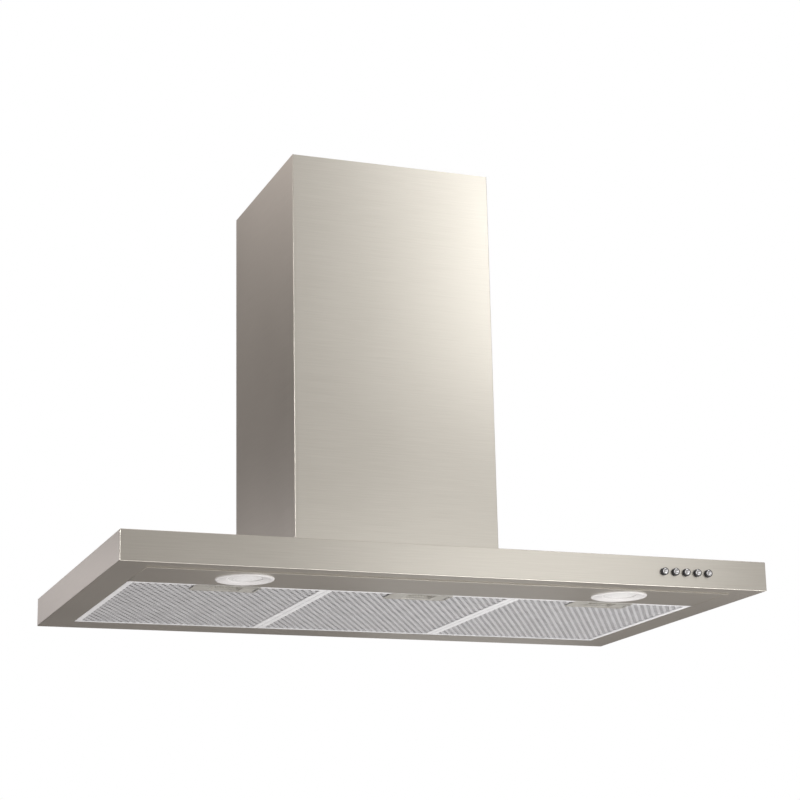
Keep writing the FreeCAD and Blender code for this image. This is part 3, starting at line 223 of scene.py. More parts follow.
def brushedSteel(name, look):
    steel = Finish(name, Metallic=1.0)
    x, y, z = steel.split(steel.place())
    flat = abs(steel.split(steel.facing())[2]).above(0.7)
    along = x + y * (1 - flat)            # level on upright faces, along X on flat ones
    across = z * (1 - flat) + y * flat
    stretched = along * look["lineStretch"]
    fine = steel.grain(steel.join(stretched, across, 0.0), look["fineLines"])
    wide = steel.grain(steel.join(stretched * 2, across, 0.4), look["wideLines"], 3.0)
    clouds = steel.grain(steel.join(along, across, 0.9), look["clouds"])
    lines = fine * 0.55 + wide * 0.45
    tone = steel.spread(lines * 0.6 + clouds * 0.4, 0.38, 0.62, 0.0, 1.0)
    steel.paint(tone, look["dark"], look["light"])
    steel.roughen(lines * 0.5 + clouds * 0.5, look, 0.35, 0.65)
    steel.bumps(lines, *look["brushed"])
    return steel.material


zincLook = {
    "spangle": 95.0,          # crystals per metre
    "frost": 900.0,
    "dark": (0.43, 0.45, 0.46),
    "light": (0.60, 0.62, 0.63),
    "roughness": (0.32, 0.50),
    "relief": (0.15, 0.1 * mm),
}


def spangledZinc(name, look):
    zinc = Finish(name, Metallic=1.0)
    place = zinc.place()
    crystal = zinc.split(zinc.crystals(place, look["spangle"]))[0]
    frost = zinc.grain(place, look["frost"], 3.0)
    tone = crystal * 0.7 + frost * 0.3
    zinc.paint(tone, look["dark"], look["light"])
    zinc.roughen(tone, look, 0.1, 0.9)
    zinc.bumps(crystal, *look["relief"])
    return zinc.material


frameLook = {
    "dark": (0.93, 0.94, 0.955),
    "light": (0.97, 0.98, 0.99),
    "roughness": (0.36, 0.48),
    "metal": 0.2,             # an anodised skin scatters most of the light
}

netLook = {
    "dark": (0.655, 0.66, 0.675),
    "light": (0.715, 0.72, 0.735),
    "roughness": (0.34, 0.46),
    "metal": 0.3,
}

latchLook = {
    "dark": (0.54, 0.53, 0.485),
    "light": (0.61, 0.60, 0.555),
    "roughness": (0.30, 0.42),
    "metal": 0.45,
}


satinMarks = {
    "drawnLines": 300.0,      # per metre, finer across than along
    "rubbedSpots": 38.0,
    "relief": (0.12, 0.05 * mm),
}


def satinAluminium(name, look, marks):
    metal = Finish(name, Metallic=look["metal"])
    place = metal.place()
    x, y, z = metal.split(place)
    drawn = metal.grain(metal.join(x, y * 0.6, z * 2), marks["drawnLines"], 3.0)
    rubbed = metal.grain(place, marks["rubbedSpots"], 3.0)
    tone = drawn * 0.5 + rubbed * 0.5
    metal.paint(metal.spread(tone, 0.35, 0.65, 0.0, 1.0), look["dark"], look["light"])
    metal.roughen(rubbed, look)
    metal.bumps(drawn, *marks["relief"])
    return metal.material


# Painted shade: the foil layers behind the net get dark tones for the shadow they lie in, and their
# holes a darker painted shade for the depth seen through them
shadedFoilLook = {
    "dark": (0.27, 0.27, 0.275),
    "light": (0.34, 0.34, 0.345),
    "hole": (0.17, 0.17, 0.175),
    "roughness": (0.35, 0.50),
    "holePitch": (4.2 * mm, 6.2 * mm),  # of the foil layers behind the front net
    "holeEdge": (0.30, 0.42),
    "tarnish": 160.0,
    "relief": (0.5, 0.6 * mm),
}


def expandedFoil(name, look):
    foil = Finish(name, Metallic=1.0)
    x, y, z = foil.split(foil.place())
    acrossPitch, alongPitch = look["holePitch"]
    columns, rows = x * (math.pi / acrossPitch), y * (math.pi / alongPitch)
    diamonds = abs((columns + rows).sine()) * abs((columns - rows).sine())
    hole = foil.spread(diamonds, *look["holeEdge"], 0.0, 1.0)
    shade = foil.grain(foil.place(), look["tarnish"], 3.0)
    metalTone = foil.mixColour(shade, rgba(*look["dark"]), rgba(*look["light"]))
    # painted shade: the holes take the darker hole colour
    foil.drive("Base Color", foil.mixColour(hole, metalTone, rgba(*look["hole"])))
    foil.drive("Metallic", 1 - hole)
    foil.roughen(shade, look)
    foil.bumps(1 - hole, *look["relief"])
    return foil.material


ringLook = {
    "dark": (0.84, 0.83, 0.825),
    "light": (0.91, 0.905, 0.90),
    "roughness": (0.30, 0.42),
    "clouds": 60.0,
    "pores": 1400.0,
}


def lampEnamel(name, look):
    enamel = Finish(name, Coat_Weight=0.35, Coat_Roughness=0.12)
    cloud = enamel.grain(enamel.place(), look["clouds"], 3.0)
    enamel.paint(cloud, look["dark"], look["light"])
    enamel.roughen(cloud, look)
    enamel.bumps(enamel.grain(enamel.place(), look["pores"]), 0.05, 0.1 * mm)
    return enamel.material


lampCentre = (266.8 * mm, -435.6 * mm)        # of the right lamp, the left one mirrors it

glassLook = {
    "glow": 0.20,
    "bright": (8 * mm, 24 * mm),        # the glow fades from the first radius to the second
    "fade": 0.55,
    "warmth": (0.97, 0.965),  # the glow's green and blue against its red
    "ripple": 700.0,          # half waves per metre out from the centre
    "frost": 900.0,
    "dark": (0.56, 0.555, 0.55),
    "light": (0.66, 0.66, 0.655),
    "roughness": (0.35, 0.55),
}


def frostedGlass(name, look):
    glass = Finish(name, Emission_Strength=look["glow"], IOR=1.5)
    x, y, z = glass.split(glass.place())
    sideways = abs(x) - lampCentre[0]
    backwards = y - lampCentre[1]
    radius = (sideways * sideways + backwards * backwards) ** 0.5
    ripple = (radius * (look["ripple"] * math.pi)).sine()
    frost = glass.grain(glass.place(), look["frost"], 2.0)
    # painted glow: the lens gives off faint light of its own, brightest in its middle and fading
    # outwards, though no lamp is lit behind it
    glow = glass.spread(radius, *look["bright"], 1.0, look["fade"])
    glass.paint(frost, look["dark"], look["light"])
    green, blue = look["warmth"]
    warm = glass.node("ShaderNodeCombineColor", None, {0: glow, 1: glow * green, 2: glow * blue})
    glass.drive("Emission Color", warm)
    glass.roughen(frost, look)
    glass.bumps(ripple * 0.6 + frost * 0.4, 0.3, 0.2 * mm)
    return glass.material


blackLook = {
    "dark": (0.030, 0.030, 0.033),
    "light": (0.052, 0.052, 0.056),
    "roughness": (0.42, 0.62),
    "grain": 1500.0,
    "clouds": 35.0,
}

whiteLook = {
    "dark": (0.70, 0.70, 0.69),
    "light": (0.80, 0.80, 0.79),
    "roughness": (0.42, 0.62),
    "grain": 1500.0,
    "clouds": 35.0,
}


def mouldedPlastic(name, look):
    plastic = Finish(name, Specular_IOR_Level=0.45)
    place = plastic.place()
    grain = plastic.grain(place, look["grain"], 2.0)
    cloud = plastic.grain(place, look["clouds"], 3.0)
    plastic.paint(cloud, look["dark"], look["light"])
    plastic.roughen(cloud * 0.5 + grain * 0.5, look, 0.35, 0.65)
    plastic.bumps(grain, 0.18, 0.12 * mm)
    return plastic.material


springLook = {
    "dark": (0.45, 0.46, 0.48),
    "light": (0.60, 0.61, 0.63),
    "roughness": (0.18, 0.30),
    "clouds": 220.0,
    "marks": 1320.0,
    "relief": (0.1, 0.05 * mm),
}

chromeLook = {
    "dark": (0.56, 0.56, 0.57),
    "light": (0.64, 0.64, 0.64),
    "roughness": (0.10, 0.18),
    "clouds": 90.0,
    "marks": 540.0,
    "relief": (0.02, 0.05 * mm),
}

platedLook = {
    "dark": (0.50, 0.52, 0.55),
    "light": (0.68, 0.69, 0.70),
    "roughness": (0.22, 0.38),
    "clouds": 220.0,
    "marks": 1320.0,
    "relief": (0.1, 0.05 * mm),
}


def bareMetal(name, look):
    metal = Finish(name, Metallic=1.0)
    place = metal.place()
    cloud = metal.grain(place, look["clouds"], 4.0, 0.6)
    marks = metal.grain(place, look["marks"], 2.0)
    metal.paint(metal.spread(cloud, 0.35, 0.65, 0.0, 1.0), look["dark"], look["light"])
    metal.roughen(cloud * 0.6 + marks * 0.4, look, 0.35, 0.65)
    metal.bumps(marks, *look["relief"])
    return metal.material


canLook = {
    "dark": (0.66, 0.66, 0.665),
    "light": (0.80, 0.80, 0.80),
    "roughness": (0.24, 0.40),
    "rings": 900.0,           # per metre of height
}


def spunCan(name, look):
    # drawn aluminium with faint rings round an upright can
    can = Finish(name, Metallic=1.0)
    x, y, z = can.split(can.place())
    rings = can.grain(can.join(x * 0.02, y * 0.02, z), look["rings"], 2.0)
    can.paint(rings, look["dark"], look["light"])
    can.roughen(rings, look)
    can.bumps(rings, 0.2, 0.05 * mm)
    return can.material


motorLook = {
    "dark": (0.060, 0.060, 0.066),
    "light": (0.105, 0.104, 0.108),
    "roughness": (0.34, 0.52),
    "orangePeel": 420.0,
    "dust": 45.0,
}


def stoveEnamel(name, look):
    enamel = Finish(name, Coat_Weight=0.25, Coat_Roughness=0.25)
    orangePeel = enamel.grain(enamel.place(), look["orangePeel"], 2.0)
    dust = enamel.grain(enamel.place(), look["dust"], 4.0)
    enamel.paint(enamel.spread(dust, 0.4, 0.7, 0.0, 1.0), look["dark"], look["light"])
    enamel.roughen(dust, look)
    enamel.bumps(orangePeel, 0.2, 0.2 * mm)
    return enamel.material


holderLook = {
    "dark": (0.80, 0.78, 0.72),
    "light": (0.88, 0.87, 0.83),
    "specks": 500.0,
}


def glazedCeramic(name, look):
    glaze = Finish(name, Coat_Weight=0.6, Coat_Roughness=0.06, Roughness=0.3)
    speck = glaze.grain(glaze.place(), look["specks"], 3.0)
    glaze.paint(glaze.spread(speck, 0.3, 0.7, 0.0, 1.0), look["dark"], look["light"])
    glaze.bumps(speck, 0.08, 0.1 * mm)
    return glaze.material


bulbLook = {
    "dark": (0.88, 0.88, 0.86),
    "light": (0.96, 0.96, 0.95),
    "roughness": (0.03, 0.12),
    "haze": 300.0,
}


def clearBulb(name, look):
    bulb = Finish(name, Transmission_Weight=0.8, IOR=1.45)
    haze = bulb.grain(bulb.place(), look["haze"], 2.0)
    bulb.paint(haze, look["dark"], look["light"])
    bulb.roughen(haze, look)
    return bulb.material


finishes = {
    "stainless": brushedSteel("brushedSteel", steelLook),
    "lamp_ring": lampEnamel("lampEnamel", ringLook),
    "frosted_glass": frostedGlass("frostedGlass", glassLook),
    "bulb_glass": clearBulb("clearBulb", bulbLook),
    "ceramic": glazedCeramic("glazedCeramic", holderLook),
    "filter_aluminium": satinAluminium("filterAluminium", frameLook, satinMarks),
    "mesh_aluminium": expandedFoil("expandedFoil", shadedFoilLook),
    "latch_metal": satinAluminium("latchMetal", latchLook, satinMarks),
    "spring_steel": bareMetal("springSteel", springLook),
    "button_chrome": bareMetal("buttonChrome", chromeLook),
    "black_plastic": mouldedPlastic("blackPlastic", blackLook),
    "white_plastic": mouldedPlastic("whitePlastic", whiteLook),
    "zinc_steel": bareMetal("zincSteel", platedLook),
    "galvanised": spangledZinc("spangledZinc", zincLook),
    "motor_enamel": stoveEnamel("motorEnamel", motorLook),
    "can_aluminium": spunCan("canAluminium", canLook),
}
netMetal = satinAluminium("netAluminium", netLook, satinMarks)

for piece in frame["record"]["subparts"]:
    shown = frame["nodes"][piece["node"]]
    shown.data.materials.clear()
    shown.data.materials.append(finishes[piece["material_slot"]])
print("hood:", len(finishes), "finishes set")


# Modelling helpers

seamReach = 0.002 * mm        # verts nearer than this are one


def chooseOnly(obj):
    bpy.ops.object.select_all(action="DESELECT")
    obj.select_set(True)
    bpy.context.view_layer.objects.active = obj


def openMesh(obj):
    chooseOnly(obj)
    bpy.ops.object.mode_set(mode="EDIT")
    bpy.ops.mesh.select_all(action="SELECT")


def closeMesh():
    bpy.ops.mesh.select_all(action="SELECT")
    bpy.ops.mesh.remove_doubles(threshold=seamReach)
    bpy.ops.mesh.normals_make_consistent(inside=False)
    bpy.ops.object.mode_set(mode="OBJECT")


def pick(obj, kind, test):
    # selects the open mesh's faces, edges or verts that pass the test, by their place in the frame
    bpy.ops.mesh.select_mode(type=kind)
    bpy.ops.mesh.select_all(action="DESELECT")
    shape = bmesh.from_edit_mesh(obj.data)
    if kind == "FACE":
        for face in shape.faces:
            face.select_set(bool(test(obj.matrix_world @ face.calc_center_median(), face.normal)))
    elif kind == "EDGE":
        for edge in shape.edges:
            first, second = [obj.matrix_world @ v.co for v in edge.verts]
            edge.select_set(bool(test(first, second)))
    else:
        for vert in shape.verts:
            vert.select_set(bool(test(obj.matrix_world @ vert.co)))
    bmesh.update_edit_mesh(obj.data)


def cutAt(point, direction, drop=False):
    # cuts the open mesh through a plane, and can drop what lies beyond it
    bpy.ops.mesh.select_all(action="SELECT")
    bpy.ops.mesh.bisect(plane_co=point, plane_no=direction, clear_outer=drop, use_fill=False)


def modifier(obj, kind, **settings):
    chooseOnly(obj)
    added = obj.modifiers.new(kind.lower(), kind)
    for key, value in settings.items():
        setattr(added, key, value)
    bpy.ops.object.modifier_apply(modifier=added.name)


def softenEdges(obj, width, segments=2, angle=40):
    modifier(obj, "BEVEL", width=width, segments=segments, limit_method="ANGLE",
             angle_limit=math.radians(angle))


def smoothBy(obj, angle):
    chooseOnly(obj)
    bpy.ops.object.shade_smooth_by_angle(angle=math.radians(angle))


def bringTogether(name, pieces):
    chooseOnly(pieces[0])
    for other in pieces[1:]:
        other.select_set(True)
    bpy.ops.object.join()
    bpy.context.object.name = name
    return bpy.context.object


def duplicate(obj, name):
    chooseOnly(obj)
    bpy.ops.object.duplicate()
    twin = bpy.context.object
    twin.name = name
    return twin


def block(middle, size):
    # a plain cube to shape further
    bpy.ops.mesh.primitive_cube_add(size=1, location=middle)
    made = bpy.context.object
    made.scale = size
    bpy.ops.object.transform_apply(location=True, scale=True)
    return made


def turned(name, rings, spot, segments=64, filled=False):
    # a round piece: each ring of radius and level is extruded from the last, and radius 0 closes it
    radius, level = rings[0]
    x, y, z = spot
    cap = "TRIFAN" if filled else "NOTHING"
    centre = Vector((x, y, z + level))
    bpy.ops.mesh.primitive_circle_add(vertices=segments, radius=radius, fill_type=cap,
                                      location=centre)
    piece = bpy.context.object
    piece.name = name
    openMesh(piece)
    bpy.ops.mesh.select_mode(type="EDGE")
    if filled:
        rim = radius / 2
        pick(piece, "EDGE", lambda a, b: min((a - centre).length, (b - centre).length) > rim)
    for nextRadius, nextLevel in rings[1:]:
        bpy.ops.mesh.extrude_edges_move(TRANSFORM_OT_translate={"value": (0, 0, nextLevel - level)})
        if nextRadius > 0:
            share = nextRadius / radius
            bpy.ops.transform.resize(value=(share, share, 1), center_override=(x, y, z + nextLevel))
        else:
            bpy.ops.mesh.merge(type="CENTER")
        radius, level = nextRadius, nextLevel
    closeMesh()
    return piece


def finish(obj, slotName, body, nodes=(), material=None, smooth=35):
    chooseOnly(obj)
    bpy.ops.object.transform_apply(location=True, rotation=True, scale=True)
    if smooth:
        smoothBy(obj, smooth)
    obj.data.materials.clear()
    obj.data.materials.append(material or finishes[slotName])
    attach(obj, body)
    if nodes:
        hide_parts(*nodes)
    return obj


# The hood's places, in metres, read from the frame

sides = ("left", "centre", "right")
lampPlaces = {"left": (-lampCentre[0], lampCentre[1]), "right": lampCentre}


def middleOf(node):
    low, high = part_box(node)
    return (low + high) / 2


def copyOf(node, name):
    # a copy of a solid's mesh, with its loose triangles joined, left in edit mode
    copy = duplicate(frame["nodes"][node], name)
    openMesh(copy)
    bpy.ops.mesh.remove_doubles(threshold=seamReach)
    return copy


# Folded sheet: the canopy and the chimney covers get the rounded folds of a press brake

foldSizes = {
    "radius": 0.9 * mm,
    "steps": 3,
    "flatness": math.radians(0.5),      # triangles flatter than this are joined into one face
    "onWall": 0.02 * mm,
}


def foldedSheet(node, name, body, sizes, walls):
    # a copy of the solid whose outer edges, where two of the named walls meet, are rounded
    sheet = copyOf(node, name)
    bpy.ops.mesh.dissolve_limited(angle_limit=sizes["flatness"])
    low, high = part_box(node)
    planes = {"left": (0, low.x), "right": (0, high.x), "front": (1, low.y),
              "bottom": (2, low.z), "top": (2, high.z)}

    def onFold(first, second):
        met = 0
        for axis, level in (planes[wall] for wall in walls):
            met += max(abs(first[axis] - level), abs(second[axis] - level)) < sizes["onWall"]
        return met > 1

    pick(sheet, "EDGE", onFold)
    bpy.ops.mesh.bevel(offset=sizes["radius"], segments=sizes["steps"], affect="EDGES")
    bpy.ops.object.mode_set(mode="OBJECT")
    bpy.ops.mesh.customdata_custom_splitnormals_clear()
    bpy.ops.object.shade_flat()
    finish(sheet, "stainless", body, (node,), smooth=0)


upright = ("left", "right", "front")
foldedSheet("canopy_shell", "folded_canopy", "hood", foldSizes, upright + ("bottom", "top"))
foldedSheet("lower_cover", "folded_lower_cover", "hood", foldSizes, upright)
foldedSheet("upper_cover", "folded_upper_cover", "upper_chimney", foldSizes, upright)
print("hood: sheet folds rounded")


# A rolled lip round the lamp panel, over the seam between it and the canopy

lipSizes = {
    "frontDrop": 1.1 * mm,
    "sideDrop": 0.25 * mm,
    "overCanopy": 1.4 * mm,
    "overPanel": 1.0 * mm,
    "fold": 0.3 * mm,
    "foldShare": 0.4,         # and not more than this share of the drop
    "sunk": 0.1 * mm,         # into the sheet
}


def lipStrip(x0, y0, x1, y1, drop, sizes):
    middle = ((x0 + x1) / 2, (y0 + y1) / 2, -drop / 2)
    strip = block(middle, (x1 - x0, y1 - y0, drop + 2 * sizes["sunk"]))
    softenEdges(strip, min(sizes["fold"], drop * sizes["foldShare"]), 3)
    return strip


def panelLip(sizes):
    low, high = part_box("light_panel")
    out, lap = sizes["overCanopy"], sizes["overPanel"]
    front = lipStrip(low.x - out, low.y - out, high.x + out, low.y + lap, sizes["frontDrop"], sizes)
    left = lipStrip(low.x - out, low.y, low.x + lap, high.y, sizes["sideDrop"], sizes)
    right = lipStrip(high.x - lap, low.y, high.x + out, high.y, sizes["sideDrop"], sizes)
    finish(bringTogether("panel_lip", [front, left, right]), "stainless", "hood")


panelLip(lipSizes)
print("hood: panel lip set")


# Expanded nets in the three grease filters

netSizes = {
    "across": 10 * mm,        # a diamond's width along X
    "along": 17.5 * mm,       # and its length along Y
    "strand": 3.6 * mm,
    "twist": 0.25 * mm,       # how far a strand's edges stand up and down
    "sheet": 0.45 * mm,
    "joint": 0.01 * mm,       # verts of neighbouring cells nearer than this are one
    "cupRoom": (21.5 * mm, 35 * mm),       # half width and depth left free for the latch's cup
}


def openNet(sizes):
    # one diamond ring, then its neighbour in the gap, then rows and columns of the pair
    bpy.ops.mesh.primitive_circle_add(vertices=4, radius=1, fill_type="NGON")
    net = bpy.context.object
    net.scale = (sizes["across"] / 2, sizes["along"] / 2, 1)
    bpy.ops.object.transform_apply(scale=True)
    openMesh(net)
    bpy.ops.mesh.select_mode(type="FACE")
    bpy.ops.mesh.inset(thickness=sizes["strand"] / 2, depth=0)
    bpy.ops.mesh.delete(type="ONLY_FACE")
    inside = sizes["along"] / 2 - sizes["strand"] * 0.3        # only the hole's tips lie in it
    for lean in (1, -1):
        pick(net, "VERT", lambda spot: abs(spot.x) < sizes["joint"] and 0 < lean * spot.y < inside)
        bpy.ops.transform.translate(value=(0, 0, lean * sizes["twist"]))
    bpy.ops.object.mode_set(mode="OBJECT")
    return net


def netPiece(side, sizes, pattern):
    low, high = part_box("filter_net_" + side)
    middle = (low + high) / 2
    columns = math.ceil((high.x - low.x) / sizes["across"]) + 2
    rows = math.ceil((high.y - low.y) / sizes["along"]) + 2
    net = duplicate(pattern, "net_" + side)
    half = (sizes["across"] / 2, sizes["along"] / 2, 0)
    nextColumn, nextRow = (sizes["across"], 0, 0), (0, sizes["along"], 0)
    for count, step in ((2, half), (columns, nextColumn), (rows, nextRow)):
        modifier(net, "ARRAY", count=count, use_relative_offset=False, use_constant_offset=True,
                 constant_offset_displace=step)
    chooseOnly(net)
    corner = middle - Vector((columns * sizes["across"], rows * sizes["along"], 0)) / 2
    net.location = (corner.x, corner.y, middle.z)
    bpy.ops.object.transform_apply(location=True)
    openMesh(net)
    bpy.ops.mesh.remove_doubles(threshold=sizes["joint"])
    cutAt((low.x, 0, 0), (-1, 0, 0), True)
    cutAt((high.x, 0, 0), (1, 0, 0), True)
    cutAt((0, low.y, 0), (0, -1, 0), True)
    cutAt((0, high.y, 0), (0, 1, 0), True)
    cupHalf, cupRoom = sizes["cupRoom"]        # the latch's cup stands in the net
    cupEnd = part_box("latch_plate_" + side)[0].y + cupRoom
    pick(net, "FACE", lambda spot, normal: abs(spot.x - middle.x) < cupHalf and spot.y < cupEnd)
    bpy.ops.mesh.delete(type="FACE")
    bpy.ops.object.mode_set(mode="OBJECT")
    modifier(net, "SOLIDIFY", thickness=sizes["sheet"], offset=0)
    finish(net, "mesh_aluminium", "filter_" + side, ("filter_net_" + side,), netMetal, smooth=0)
    print("hood: net", side, columns, "by", rows, "cells,", len(net.data.polygons), "faces")


netPattern = openNet(netSizes)
for side in sides:
    netPiece(side, netSizes, netPattern)
bpy.data.objects.remove(netPattern)


# Rivets at the front corners of the filter frames: the rear ones would meet the ledge in the swing

rivetSizes = {
    "radius": 2.6 * mm,
    "proud": 0.35 * mm,
    "root": 0.3 * mm,         # inside the frame
    "inset": 1.5 * mm,        # out from the net's edge, onto the frame's rail
    "dome": [(1, 0), (0.85, 0.55), (0.5, 0.92), (0, 1)],        # shares of radius and proud
    "facets": 16,
}


def frameRivets(side, sizes):
    low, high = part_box("filter_net_" + side)
    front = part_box("filter_frame_" + side)[0]
    rivets = []
    radius, proud = sizes["radius"], sizes["proud"]
    rings = [(radius, sizes["root"])]
    rings += [(radius * out, -proud * down) for out, down in sizes["dome"]]
    for x in (low.x - sizes["inset"], high.x + sizes["inset"]):
        spot = (x, low.y - sizes["inset"], front.z)
        rivets.append(turned("rivet", rings, spot, sizes["facets"]))
    finish(bringTogether("frame_rivets_" + side, rivets), "filter_aluminium", "filter_" + side)


for side in sides:
    frameRivets(side, rivetSizes)
print("hood: frame rivets set")


# Lamps: an enamelled ring round a ribbed glass

lampRing = {
    "profile": [              # radius and level in millimetres, from the panel's underside outwards
        (38.5, 0.0), (38.5, -0.7), (38.2, -1.25), (37.5, -1.7), (36.4, -2.0), (34.8, -2.05),
        (33.0, -1.9), (30.6, -1.45), (28.2, -0.95), (26.0, -0.6), (24.4, -0.4), (23.5, -0.1),
        (23.0, 0.5), (23.1, 1.6), (25.6, 3.0), (29.6, 3.0), (29.6, 0.3), (30.4, 0.0),
    ],
    "facets": 96,
}

lampGlass = {                 # in millimetres
    "radius": 24.9,
    "chamfer": (1.5, 0.6),
    "lens": 22.8,             # the part that shows in the ring
    "top": 6.1,
    "seat": 3.25,
    "edge": 1.0,
    "crown": 2.6,             # how far its middle hangs below its edge
    "ribs": 5,
    "ribDepth": 0.22,
    "ribSteps": 6,
    "facets": 72,
}


def inMetres(profile):
    return [(radius * mm, level * mm) for radius, level in profile]


def lampRingPiece(side, spot, sizes):
    rings = inMetres(sizes["profile"] + sizes["profile"][:1])
    ring = turned("lamp_ring_" + side, rings, (*spot, 0), sizes["facets"])
    finish(ring, "lamp_ring", "hood", ("lamp_bezel_" + side,), smooth=50)


def lampGlassPiece(side, spot, sizes):
    outer, lens = sizes["radius"], sizes["lens"]
    chamferIn, chamferDown = sizes["chamfer"]
    profile = [(outer - chamferIn, sizes["top"]), (outer, sizes["top"] - chamferDown),
               (outer, sizes["seat"]), (lens, sizes["seat"]), (lens, sizes["edge"])]
    steps = sizes["ribs"] * sizes["ribSteps"]
    for step in range(1, steps):
        share = 1 - step / steps
        wave = math.sin(step / steps * sizes["ribs"] * 2 * math.pi) * sizes["ribDepth"]
        level = sizes["edge"] - sizes["crown"] * (1 - share ** 2) + wave
        profile.append((lens * share, level))
    profile.append((0, sizes["edge"] - sizes["crown"]))
    rings = inMetres(profile)
    glass = turned("lamp_lens_" + side, rings, (*spot, 0), sizes["facets"], filled=True)
    finish(glass, "frosted_glass", "hood", ("lamp_glass_" + side,), smooth=60)


for side, spot in lampPlaces.items():
    lampRingPiece(side, spot, lampRing)
    lampGlassPiece(side, spot, lampGlass)
print("hood: lamps set")


# Push buttons: a chromed core with a dished face, in a dark sleeve

buttonSizes = {
    "core": [                 # radius and height above the canopy's face in millimetres
        (2.0, -19.0), (2.0, -2.5), (6.5, -2.5), (6.5, -1.4), (4.2, -1.4), (4.2, 4.2),
        (4.05, 4.55), (3.5, 4.75), (2.9, 4.7), (2.1, 4.45), (1.2, 4.3), (0, 4.25),
    ],
    "sleeve": [
        (4.2, -1.3), (4.9, -1.3), (4.9, 0.3), (5.0, 0.5), (5.0, 4.1), (4.9, 4.6),
        (4.65, 4.85), (4.4, 4.8), (4.25, 4.5), (4.2, 4.1), (4.2, -1.3),
    ],
    "face": -520 * mm,        # where the canopy's front stands
    "facets": 40,
}


def faceForward(piece, place, face):
    # a piece turned about Z is laid down so that its axis points out of the canopy's face
    chooseOnly(piece)
    bpy.ops.object.transform_apply(location=True)
    piece.rotation_euler = (math.pi / 2, 0, 0)
    piece.location = (place.x, face, place.z)


def pushButton(number, sizes):
    node = f"push_button_{number}"
    place = middleOf(node)
    coreRings = inMetres(sizes["core"])
    coreRings[0] = (coreRings[0][0], sizes["face"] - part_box(node)[1].y)        # the stem's real end
    centre = (0, 0, 0)
    core = turned(f"button_core_{number}", coreRings, centre, sizes["facets"], filled=True)
    faceForward(core, place, sizes["face"])
    finish(core, "button_chrome", f"button_{number}", (node,))
    sleeveRings = inMetres(sizes["sleeve"])
    sleeve = turned(f"button_sleeve_{number}", sleeveRings, centre, sizes["facets"])
    faceForward(sleeve, place, sizes["face"])
    finish(sleeve, "black_plastic", f"button_{number}")


for number in range(1, 6):
    pushButton(number, buttonSizes)
print("hood: buttons set")


# Latches: a pressed plate with a finger cup, and the slide that the finger pulls

latchSizes = {
    "plate": (90 * mm, 40 * mm),
    "corner": 4 * mm,
    "sheet": 0.8 * mm,
    "cup": (42 * mm, 30 * mm),
    "cupBack": 3.3 * mm,      # from the plate's front edge
    "cupDepth": 7.9 * mm,
    "cupTaper": 0.93,
    "slot": (3 * mm, 28 * mm),
    "slotFrom": 41 * mm,      # from the filter's middle
    "edge": 0.25 * mm,
}


def latchPlate(side, sizes):
    low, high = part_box("latch_plate_" + side)
    x = middleOf("filter_frame_" + side).x
    y = low.y + sizes["plate"][1] / 2
    level = low.z + sizes["sheet"] / 2
    bpy.ops.mesh.primitive_plane_add(size=1, location=(x, y, level))
    plate = bpy.context.object
    plate.name = "latch_cover_" + side
    plate.scale = (*sizes["plate"], 1)
    bpy.ops.object.transform_apply(location=True, scale=True)
    openMesh(plate)
    bpy.ops.mesh.bevel(offset=sizes["corner"], affect="VERTICES", segments=5)
    cupFront = low.y + sizes["cupBack"]
    cupEnd = cupFront + sizes["cup"][1]
    halfCup = sizes["cup"][0] / 2
    slotX = x + sizes["slotFrom"]
    halfSlot, halfLength = sizes["slot"][0] / 2, sizes["slot"][1] / 2
    for cut in (x - halfCup, x + halfCup, slotX - halfSlot, slotX + halfSlot):
        cutAt((cut, 0, 0), (1, 0, 0))
    for cut in (cupFront, cupEnd, y - halfLength, y + halfLength):
        cutAt((0, cut, 0), (0, 1, 0))

    def inSlot(spot, normal):
        return abs(spot.x - slotX) < halfSlot and abs(spot.y - y) < halfLength

    def inCup(spot, normal):
        return abs(spot.x - x) < halfCup and cupFront < spot.y < cupEnd

    pick(plate, "FACE", inSlot)
    bpy.ops.mesh.delete(type="FACE")
    pick(plate, "FACE", inCup)
    bpy.ops.mesh.extrude_region_move(TRANSFORM_OT_translate={"value": (0, 0, sizes["cupDepth"])})
    centre = (x, (cupFront + cupEnd) / 2, level + sizes["cupDepth"])
    taper = sizes["cupTaper"]
    bpy.ops.transform.resize(value=(taper, taper, 1), center_override=centre)
    closeMesh()
    modifier(plate, "SOLIDIFY", thickness=sizes["sheet"], offset=0)
    softenEdges(plate, sizes["edge"])
    finish(plate, "latch_metal", "filter_" + side, ("latch_plate_" + side,))


slideSizes = {
    "grip": 26 * mm,
    "thickness": 3 * mm,
    "tongue": (18 * mm, 1.6 * mm),
    "tongueLap": 0.3 * mm,    # into the grip
    "tip": (0.45 * mm, 0.25 * mm),      # how much the tongue's end narrows and lifts
    "ribs": 6,
    "ribDepth": 0.5 * mm,
    "gripEdge": 0.15 * mm,
    "tongueEdge": 0.2 * mm,
}


